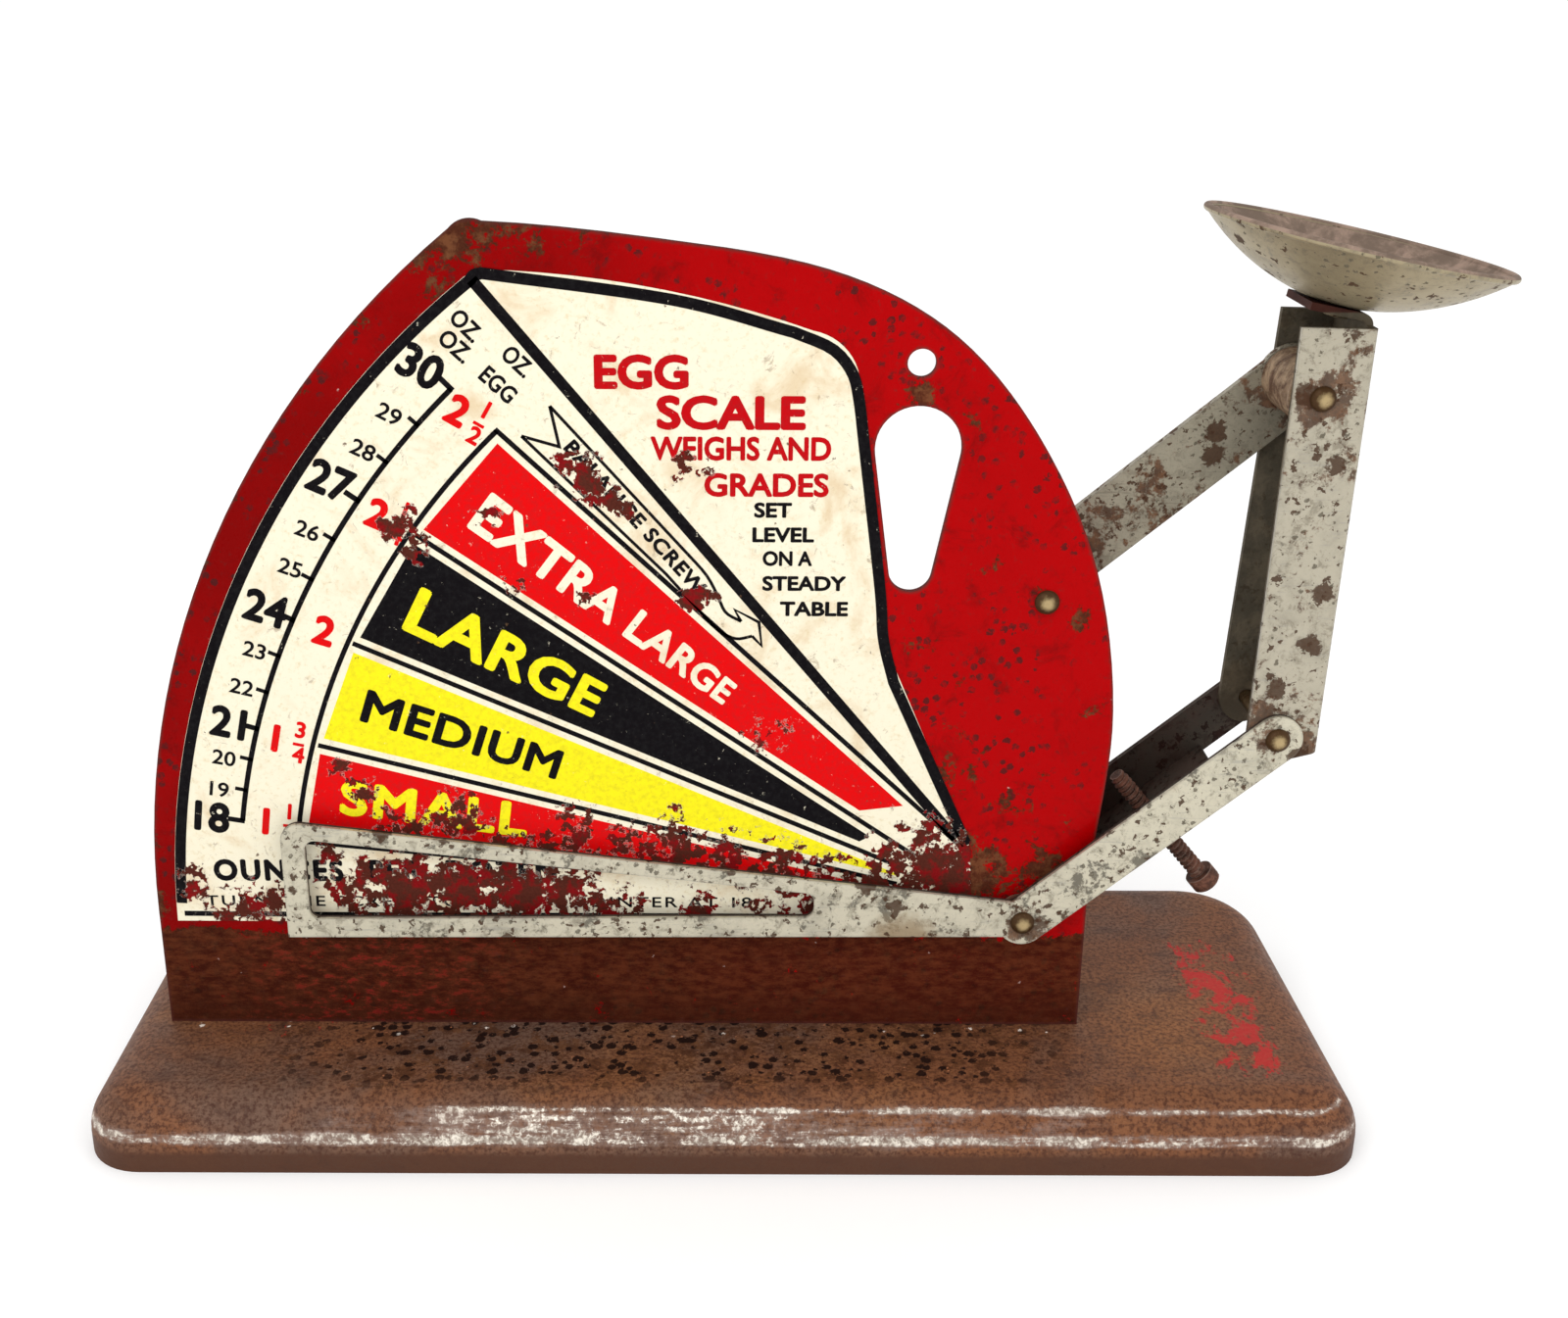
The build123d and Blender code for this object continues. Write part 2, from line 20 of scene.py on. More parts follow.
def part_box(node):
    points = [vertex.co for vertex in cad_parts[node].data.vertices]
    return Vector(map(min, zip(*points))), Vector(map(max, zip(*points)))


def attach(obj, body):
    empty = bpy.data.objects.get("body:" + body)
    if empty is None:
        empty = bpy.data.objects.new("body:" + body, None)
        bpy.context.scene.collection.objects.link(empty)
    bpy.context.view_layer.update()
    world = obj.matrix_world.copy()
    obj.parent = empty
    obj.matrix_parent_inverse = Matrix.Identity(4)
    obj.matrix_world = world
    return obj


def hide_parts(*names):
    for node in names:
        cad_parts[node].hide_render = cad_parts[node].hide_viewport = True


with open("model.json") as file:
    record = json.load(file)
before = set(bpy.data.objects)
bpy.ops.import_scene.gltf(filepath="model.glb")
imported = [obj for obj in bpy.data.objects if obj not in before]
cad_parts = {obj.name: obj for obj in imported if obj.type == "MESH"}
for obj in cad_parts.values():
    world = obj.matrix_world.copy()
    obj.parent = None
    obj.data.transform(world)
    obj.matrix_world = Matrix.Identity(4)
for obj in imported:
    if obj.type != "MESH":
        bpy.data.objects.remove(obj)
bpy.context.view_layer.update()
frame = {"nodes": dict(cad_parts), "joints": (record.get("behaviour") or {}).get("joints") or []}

MM = 0.001
MERGE_DISTANCE = 1e-7
FONT_CAP = 0.73
LETTER_STEPS = 4
BOLD_COPIES = 8
COPY_GROWTH = 0.03
SPOT_REACH = 1.5
PRINT_IOR = 1.12
METAL_IOR = 1.20
FLOAT, COLOUR = "NodeSocketFloat", "NodeSocketColor"
LOG = logging.getLogger("egg_scale")

Colour = tuple[float, float, float]
Point = tuple[float, float]
Faces = np.ndarray | list[list[int]]


class Ink(Enum):
    """The colours that the label is printed in."""

    CREAM = (0.86, 0.80, 0.62)
    BLACK = (0.004, 0.003, 0.004)
    RED = (0.72, 0.002, 0.003)
    DARK_RED = (0.50, 0.002, 0.005)
    YELLOW = (0.90, 0.80, 0.012)


class Body(Enum):
    """The moving bodies that new pieces ride on."""

    FRAME = "frame"
    LEVER = "lever"
    POST = "post"
    SCREW = "screw"


# ---------------------------------------------------------------- shader graphs


def feed(socket: bpy.types.NodeSocket, value: object) -> None:
    """Links a Value to an input socket, or sets the socket's own number, vector or colour."""
    if isinstance(value, Value):
        socket.id_data.links.new(value.socket, socket)
    elif socket.type == "RGBA":
        socket.default_value = (*value, 1.0)
    else:
        socket.default_value = value


def add_node(tree: bpy.types.NodeTree, kind: str, feeds: dict, **settings: object) -> bpy.types.Node:
    """Adds a node to a tree.

    Args:
        tree: the node tree.
        kind: the node's type name without ShaderNode.
        feeds: what goes into its inputs, by name or number.
        settings: its properties.

    Returns:
        The node.
    """
    node = tree.nodes.new("ShaderNode" + kind)
    for key, value in settings.items():
        setattr(node, key, value)
    for key, value in feeds.items():
        feed(node.inputs[key], value)
    return node


class Value:
    """A shader output that plain arithmetic and short calls turn into further nodes."""

    def __init__(self, socket: bpy.types.NodeSocket) -> None:
        """Keeps the output socket that this value stands for."""
        self.socket = socket

    def node(self, kind: str, feeds: dict, out: int | str = 0, **settings: object) -> "Value":
        """One output of a new node in this value's tree."""
        return Value(add_node(self.socket.id_data, kind, feeds, **settings).outputs[out])

    def fan(self, kind: str, feeds: dict, **settings: object) -> dict[str, "Value"]:
        """Every output of a new node by its name."""
        made = add_node(self.socket.id_data, kind, feeds, **settings)
        return {socket.name: Value(socket) for socket in made.outputs}

    def math(self, operation: str, other: object, clamp: bool = False) -> "Value":
        """A Math node's output for this value and another."""
        return self.node("Math", {0: self, 1: other}, operation=operation, use_clamp=clamp)

    def __add__(self, other: object) -> "Value":
        """The sum."""
        return self.math("ADD", other)

    def __mul__(self, other: object) -> "Value":
        """The product."""
        return self.math("MULTIPLY", other)

    def __sub__(self, other: object) -> "Value":
        """The difference."""
        return self.math("SUBTRACT", other)

    def __rsub__(self, other: float) -> "Value":
        """A number less this value."""
        return self.node("Math", {0: other, 1: self}, operation="SUBTRACT")

    def peak(self, other: object) -> "Value":
        """The larger of the two."""
        return self.math("MAXIMUM", other)

    def times(self, scales: Colour) -> "Value":
        """This vector with each axis multiplied."""
        return self.node("VectorMath", {0: self, 1: scales}, operation="MULTIPLY")

    def plus(self, shift: object) -> "Value":
        """This vector moved by another."""
        return self.node("VectorMath", {0: self, 1: shift}, operation="ADD")

    def axes(self) -> list["Value"]:
        """The X, Y and Z of this vector."""
        return list(self.fan("SeparateXYZ", {0: self}).values())

    def step(self, low: float, high: float) -> "Value":
        """A smooth step from 0 at low to 1 at high; low may be the larger of the two."""
        flip = float(low > high)
        ends = {"From Min": min(low, high), "From Max": max(low, high), "To Min": flip, "To Max": 1 - flip}
        return self.node("MapRange", {"Value": self, **ends}, "Result", interpolation_type="SMOOTHSTEP")

    def band(self, low: float, high: float, soft: float) -> "Value":
        """1 between low and high, falling to 0 over a soft width on each side."""
        return self.step(low - soft, low + soft) * self.step(high + soft, high - soft)

    def noise(self, scale: object, detail: float = 4.0, rough: float = 0.6, twist: float = 0.0) -> "Value":
        """Fractal noise between 0 and 1 at this place, with features about 1 / scale across."""
        feeds = {"Vector": self, "Scale": scale, "Detail": detail, "Roughness": rough, "Distortion": twist}
        return self.node("TexNoise", feeds, "Fac")

    def jitter(self, scale: float) -> "Value":
        """A vector of noise about zero at this place, for bending a pattern's lines."""
        tint = self.node("TexNoise", {"Vector": self, "Scale": scale, "Detail": 3.0}, "Color")
        return tint.plus((-0.5, -0.5, -0.5))

    def mix(self, a: object, b: object) -> "Value":
        """The colour a where this is 0 and b where it is 1."""
        return self.node("Mix", {0: self, 6: a, 7: b}, 2, data_type="RGBA", clamp_factor=True)

    def blend(self, a: object, b: object) -> "Value":
        """The number a where this is 0 and b where it is 1."""
        return self.node("Mix", {0: self, 2: a, 3: b}, data_type="FLOAT", clamp_factor=True)

    def coat(self, mask: "Value", tint: object) -> "Value":
        """This colour, covered by a tint where the mask is 1."""
        return mask.mix(self, tint)


@dataclass(frozen=True)
class Spot:
    """A round stain or chip on the dial's plane, with its strength at the middle."""

    x: float
    z: float
    radius: float
    strength: float


def spot_rows(*rows: tuple[float, float, float, float]) -> tuple[Spot, ...]:
    """Spots from rows of x, z, radius and strength."""
    return tuple(Spot(*row) for row in rows)


def spot_field(place: Value, spots: tuple[Spot, ...]) -> Value:
    """The largest of many cones, each falling from its strength to 0 at one and a half radii.

    Args:
        place: a place in millimetres, whose Y is ignored.
        spots: the spots.

    Returns:
        The field, which is nowhere under 0.
    """
    level = place.times((1.0, 0.0, 1.0))
    total = level.axes()[1]
    for spot in spots:
        away = level.node("VectorMath", {0: level, 1: (spot.x, 0.0, spot.z)}, "Value", operation="DISTANCE")
        slope = -spot.strength / (SPOT_REACH * spot.radius)
        cone = away.node("Math", {0: away, 1: slope, 2: spot.strength}, operation="MULTIPLY_ADD")
        total = total.peak(cone)
    return total


# The label's chips, from the strip at the top to the foot behind the pointer
LABEL_CHIPS = spot_rows(
    (-20.3, 94.4, 2.8, 1.15), (-17.4, 92.0, 3.0, 1.2), (-14.4, 89.4, 2.6, 1.1), (-4.0, 76.6, 2.5, 1.15),
    (-43.3, 85.8, 3.0, 0.95), (-41.2, 83.0, 1.9, 0.8), (-31.9, 87.2, 2.0, 0.9), (-18.6, 75.2, 1.7, 0.9),
    (-28.5, 78.5, 1.8, 0.65), (5.9, 56.1, 3.2, 0.55), (-5.2, 94.0, 2.0, 0.85), (24.5, 37.6, 5.0, 1.0),
    (29.5, 36.5, 7.5, 1.25), (33.5, 31.0, 9.0, 1.3), (22.0, 31.5, 7.0, 1.2), (-50.6, 47.6, 2.4, 1.0),
    (-46.0, 41.0, 3.6, 0.95), (-37.6, 43.2, 4.2, 1.1), (-52.7, 51.2, 1.8, 0.9), (-21.8, 40.4, 4.2, 1.05),
    (-30.5, 39.4, 3.6, 0.95), (-14.0, 40.6, 3.2, 0.95), (-7.5, 39.4, 5.0, 1.05), (1.0, 37.2, 4.0, 0.95),
    (7.8, 35.9, 5.0, 0.95), (14.5, 33.4, 4.5, 0.95), (-76.3, 33.0, 2.6, 1.0), (-71.0, 27.0, 4.4, 1.1),
    (-65.9, 29.0, 4.2, 1.05), (-56.9, 37.6, 2.8, 1.0), (-54.4, 31.6, 4.0, 1.0), (-46.0, 32.0, 6.4, 1.25),
    (-38.0, 31.8, 6.6, 1.3), (-30.0, 31.6, 6.4, 1.3), (-22.5, 31.2, 5.2, 1.2), (-15.5, 29.0, 4.0, 1.0),
    (-3.0, 27.6, 4.4, 0.95), (9.0, 27.2, 5.5, 1.0),
)  # fmt: skip


class Effects:
    """Shader groups that several finishes share, each made at its first use."""

    sockets: dict[str, tuple[dict[str, float | None], dict[str, str]]] = {
        "corrosion": (
            {"Vector": None, "Scale": 0.2, "Cover": 0.4, "Bias": 0.0},
            {"Mask": FLOAT, "Grain": FLOAT, "Colour": COLOUR},
        ),
        "specks": ({"Vector": None, "Scale": 1.0, "Share": 0.4, "Size": 0.25}, {"Mask": FLOAT}),
        "scratches": ({"Vector": None, "Amount": 0.3}, {"Mask": FLOAT}),
        "worn_edges": ({"Vector": None, "Radius": 0.0006}, {"Mask": FLOAT}),
        "flaking": ({"Vector": None}, {"Mask": FLOAT, "Rim": FLOAT, "Colour": COLOUR, "Height": FLOAT}),
    }

    def __init__(self) -> None:
        """Starts with no group made."""
        self.made: dict[str, bpy.types.NodeTree] = {}

    def use(self, name: str, place: Value, **values: object) -> dict[str, Value]:
        """Places a group and feeds its inputs.

        Args:
            name: the group's name, which is also its method's.
            place: where it is read, in millimetres.
            values: its other inputs.

        Returns:
            Its outputs by name.
        """
        if name not in self.made:
            self.made[name] = self.build(name)
        return place.fan("Group", {"Vector": place, **values}, node_tree=self.made[name])

    def build(self, name: str) -> bpy.types.NodeTree:
        """Makes a group with its named sockets, and fills it by the method of its name.

        Args:
            name: the group's name.

        Returns:
            The group.
        """
        inputs, outputs = self.sockets[name]
        tree = bpy.data.node_groups.new(name, "ShaderNodeTree")
        for key, value in inputs.items():
            kind = "NodeSocketVector" if value is None else FLOAT
            socket = tree.interface.new_socket(name=key, in_out="INPUT", socket_type=kind)
            if value is not None:
                socket.default_value = value
        for key, kind in outputs.items():
            tree.interface.new_socket(name=key, in_out="OUTPUT", socket_type=kind)
        start, end = tree.nodes.new("NodeGroupInput"), tree.nodes.new("NodeGroupOutput")
        made = getattr(self, name)(*(Value(start.outputs[key]) for key in inputs))
        for key, value in made.items():
            feed(end.inputs[key], value)
        return tree

    def corrosion(self, place: Value, scale: Value, cover: Value, bias: Value) -> dict[str, Value]:
        """Ragged patches of rust: two sizes of noise and a bias, cut at a level that Cover sets."""
        broad, fine = place.noise(scale, 6.0, 0.68, 0.4), place.noise(scale * 6.0, 5.0, 0.7)
        mixed = broad.node("Mix", {0: 0.30, 2: broad, 3: fine}, data_type="FLOAT", clamp_factor=True)
        grain = place.noise(3.1, 4.0, 0.7)
        brown = grain.mix((0.018, 0.006, 0.003), (0.095, 0.034, 0.015))
        light = place.noise(0.55, 5.0, 0.7).step(0.42, 0.66)
        mask = (mixed + bias + cover * 0.5).step(0.70, 0.76)
        return {"Mask": mask, "Grain": grain, "Colour": brown.coat(light, (0.145, 0.058, 0.024))}

    def specks(self, place: Value, scale: Value, share: Value, size: Value) -> dict[str, Value]:
        """Small round pits: cells whose middle is nearer than a size of their own, some of them empty."""
        bent = place.plus(place.noise(2.3, 2.0))
        cells = place.fan("TexVoronoi", {"Vector": bent, "Scale": scale}, feature="F1")
        tint = cells["Color"].fan("SeparateColor", {0: cells["Color"]})
        inside = size * (tint["Green"] + 0.35) - cells["Distance"]
        return {"Mask": inside.step(0.0, 0.07) * tint["Red"].math("LESS_THAN", share)}

    def scratches(self, place: Value, amount: Value) -> dict[str, Value]:
        """Fine broken lines along X: noise that is squeezed across them, cut near its top."""
        lines = place.times((0.22, 3.2, 3.2)).noise(1.0, 3.0, 0.65, 0.5)
        broken = place.noise(0.16, 3.0)
        return {"Mask": (lines + broken * 0.35 + amount * 0.2).step(0.84, 0.90)}

    def worn_edges(self, place: Value, radius: Value) -> dict[str, Value]:
        """Where the surface turns sharply within Radius metres: its normal against a rounded one."""
        rounded = place.node("Bevel", {"Radius": radius}, samples=6)
        true = place.node("NewGeometry", {}, "Normal")
        alike = place.node("VectorMath", {0: rounded, 1: true}, "Value", operation="DOT_PRODUCT")
        return {"Mask": ((1.0 - alike) + place.noise(0.9, 5.0, 0.7) * 0.30).step(0.17, 0.24)}

    def flaking(self, place: Value) -> dict[str, Value]:
        """Angular chips in the print: a field of spots, angular cells and noise, cut sharply.

        Every colour of ink chips at the same places, because the spots are the label's own.
        """
        sharp = place.jitter(1.6).times((1.4, 0.0, 1.4))
        bent = place.plus(place.jitter(0.30).times((7.0, 0.0, 7.0))).plus(sharp)
        feeds = {"Vector": place.plus(sharp), "Scale": 0.85}
        tint = place.node("TexVoronoi", feeds, "Color", feature="F1", distance="MANHATTAN")
        plates = tint.node("SeparateColor", {0: tint}) * 0.40
        raised = plates + place.noise(1.5, 5.0, 0.7) * 0.55 + spot_field(bent, LABEL_CHIPS) * 0.55
        mask, near = raised.step(0.80, 0.812), raised.step(0.765, 0.80)
        worn = place.noise(0.33, 5.0, 0.72).step(0.40, 0.54)
        grain = place.noise(2.6, 4.0, 0.7)
        red = grain.mix((0.10, 0.002, 0.003), (0.32, 0.008, 0.010))
        brown = grain.mix((0.032, 0.006, 0.004), (0.13, 0.030, 0.018))
        rim = near.math("SUBTRACT", mask, clamp=True)
        return {"Mask": mask, "Rim": rim, "Colour": red.coat(worn, brown), "Height": near - mask * 1.6}


EFFECTS = Effects()


class Surface:
    """A material with one Principled shader, whose finish is read in object millimetres."""

    def __init__(self, name: str) -> None:
        """Makes the bare material and its place, the object coordinates in millimetres."""
        self.material = bpy.data.materials.new(name)
        self.material.use_nodes = True
        tree = self.material.node_tree
        tree.nodes.clear()
        self.shader = add_node(tree, "BsdfPrincipled", {})
        add_node(tree, "OutputMaterial", {"Surface": Value(self.shader.outputs[0])})
        metres = Value(add_node(tree, "TexCoord", {}).outputs["Object"])
        self.place = metres.node("VectorMath", {0: metres, "Scale": 1 / MM}, operation="SCALE")

    def normal(self) -> list[Value]:
        """The X, Y and Z of the surface's normal."""
        return self.place.node("NewGeometry", {}, "Normal").axes()

    def set(self, **values: object) -> None:
        """Feeds the shader's inputs, whose names' spaces are underscores here."""
        for key, value in values.items():
            feed(self.shader.inputs[key.replace("_", " ")], value)

    def bump(self, height: Value, depth: float, strength: float) -> None:
        """Bends the normal by a height map whose full range is depth millimetres."""
        feeds = {"Strength": strength, "Distance": depth * MM, "Height": height}
        self.set(Normal=height.node("Bump", feeds, "Normal"))


@dataclass(frozen=True)
class PrintFinish:
    """Printed enamel in one ink, chipped to the red and the rust below it."""

    ink: Ink
    yellowed: Colour = (0.74, 0.64, 0.42)
    stain: Colour = (0.66, 0.47, 0.26)
    dirt: Colour = (0.30, 0.21, 0.13)
    pit: Colour = (0.10, 0.055, 0.03)
    rim: Colour = (0.90, 0.80, 0.68)
    scuff_cover: float = 0.17

    def make(self) -> bpy.types.Material:
        """Returns the ink's material: its stains, pinholes, scuffs to the cream ground, and chips."""
        surface = Surface(f"print_{self.ink.name.lower()}")
        place = surface.place
        chips = EFFECTS.use("flaking", place)
        stain = place.noise(0.11, 6.0, 0.62, 0.6).step(0.50, 0.72)
        grime = place.noise(1.4, 5.0, 0.7)
        if self.ink is Ink.CREAM:
            colour = grime.step(0.50, 0.75).mix(self.ink.value, self.yellowed)
            colour = colour.coat(stain * 0.65, self.stain)
            dirt = place.noise(0.5, 6.0, 0.78, 0.8).step(0.58, 0.70)
            colour = colour.coat(dirt * 0.65, self.dirt)
        else:
            faded = tuple(min(1.0, c * 0.80 + 0.006) for c in self.ink.value)
            colour = grime.step(0.40, 0.70).mix(self.ink.value, faded)
            scuff = EFFECTS.use("corrosion", place, Scale=0.9, Cover=self.scuff_cover)["Mask"]
            colour = colour.coat(scuff * 0.85, Ink.CREAM.value)
        pits = EFFECTS.use("specks", place, Scale=0.50, Share=0.38, Size=0.12)["Mask"]
        colour = colour.coat(pits * 0.85, self.pit).coat(chips["Rim"] * 0.45, self.rim)
        rough = chips["Mask"].blend(stain.blend(0.30, 0.42), 0.62)
        surface.set(Base_Color=colour.coat(chips["Mask"], chips["Colour"]), Roughness=rough, IOR=PRINT_IOR)
        surface.bump(chips["Height"] + grime * 0.15, 0.06, 0.7)
        return surface.material


@dataclass(frozen=True)
class EnamelFinish:
    """The dial's red enamel, rusting in from its edges and browned along its foot, with painted shade
    darkening the foot towards the tray.
    """

    fresh: Colour = (0.40, 0.0, 0.001)
    deep: Colour = (0.20, 0.0, 0.0)
    smoke: Colour = (0.10, 0.002, 0.002)
    mould: Colour = (0.055, 0.010, 0.010)
    foot_dark: Colour = (0.024, 0.005, 0.002)
    foot_brown: Colour = (0.098, 0.026, 0.009)
    # foot_shade is painted shade low on the plate, near the tray
    foot_shade: Colour = (0.030, 0.009, 0.004)
    remnant: Colour = (0.26, 0.012, 0.012)
    dust: Colour = (0.75, 0.55, 0.50)
    cut_edge: Colour = (0.065, 0.028, 0.024)
    worn_edge: Colour = (0.080, 0.024, 0.020)
    foot_line: Point = (30.4, 28.2)
    patches: tuple[Spot, ...] = spot_rows(
        (-36.0, 125.0, 9.5, 1.0), (-27.0, 126.5, 8.0, 0.95), (-19.0, 125.8, 6.0, 0.7),
        (-47.5, 116.0, 5.0, 0.75), (-55.5, 106.5, 4.0, 0.6), (-69.0, 90.0, 4.6, 0.85),
        (-73.0, 82.5, 4.6, 0.85), (-76.5, 73.0, 3.6, 0.6), (-79.5, 60.0, 3.0, 0.7),
        (-81.0, 40.0, 3.4, 0.8), (-81.0, 30.0, 4.0, 0.9), (25.0, 104.1, 3.4, 0.95),
        (32.0, 101.0, 2.3, 0.75), (31.0, 95.0, 2.0, 0.55), (34.5, 80.0, 3.2, 0.62),
        (41.5, 77.0, 4.2, 0.6), (48.0, 73.0, 3.6, 0.66), (27.0, 70.0, 4.4, 0.62),
        (35.0, 62.0, 5.2, 0.5), (30.0, 52.0, 9.0, 0.62), (41.0, 47.0, 8.0, 0.55),
        (45.0, 35.5, 9.0, 0.85), (35.0, 34.0, 10.0, 0.95), (24.0, 31.0, 9.0, 0.85),
        (51.0, 60.0, 3.0, 0.6),
    )  # fmt: skip

    def make(self) -> bpy.types.Material:
        """Returns the enamel's material."""
        surface = Surface("red_enamel")
        place = surface.place
        x, _, z = place.axes()
        cloud, ripple = place.noise(0.045, 4.0, 0.6, 0.4), place.noise(1.1, 5.0, 0.7)
        depth = x.step(-45.0, 35.0) * 0.55 + cloud * 0.9
        colour = depth.step(0.25, 1.05).mix(self.deep, self.fresh)
        colour = colour.coat(ripple.step(0.55, 0.80) * 0.35, self.deep)
        smoke = place.noise(0.16, 6.0, 0.75, 0.6).step(0.50, 0.72)
        mould = EFFECTS.use("specks", place, Scale=0.80, Share=0.60, Size=0.42)["Mask"]
        local = place.noise(0.13, 6.0, 0.75, 0.8).step(0.45, 0.60)
        colour = colour.coat(smoke * 0.60, self.smoke).coat(mould * (local * 0.85), self.mould)
        low = (z + (cloud * 6.0 + ripple * 2.4)).step(*self.foot_line)
        worn = (spot_field(place, self.patches) * 0.36).peak(low * 0.36)
        rust = EFFECTS.use("corrosion", place, Scale=0.30, Cover=0.0, Bias=worn)
        grime = place.times((0.5, 1.0, 1.2)).noise(0.75, 6.0, 0.78)
        foot = grime.step(0.38, 0.64).mix(self.foot_dark, self.foot_brown)
        # painted shade: the foot darkens from 17 mm down to 11 mm, where the plate meets the tray
        foot = foot.coat(z.step(17.0, 11.0) * 0.55, self.foot_shade)
        remnant = x.band(-66.0, -36.0, 10.0) * grime.step(0.52, 0.62)
        brown = rust["Colour"].coat(low * 0.85, foot).coat(remnant * (low * 0.6), self.remnant)
        dust = EFFECTS.use("specks", place, Scale=0.30, Share=0.16, Size=0.085)["Mask"]
        colour = colour.coat(rust["Mask"] * 0.93, brown).coat(dust * 0.7, self.dust)
        side = surface.normal()[1].math("ABSOLUTE", 0.0).step(0.55, 0.35)
        edges = EFFECTS.use("worn_edges", place, Radius=0.0009)["Mask"]
        colour = colour.coat(side * 0.85, self.cut_edge).coat(edges * 0.8, self.worn_edge)
        rough = ripple.step(0.35, 0.75).blend(0.26, 0.40)
        bare = rust["Mask"].peak(side)
        surface.set(Base_Color=colour, Roughness=bare.blend(rough, 0.78), IOR=PRINT_IOR)
        surface.bump(ripple * 0.10 - (rust["Mask"] * rust["Grain"]) * 0.9, 0.18, 0.8)
        return surface.material


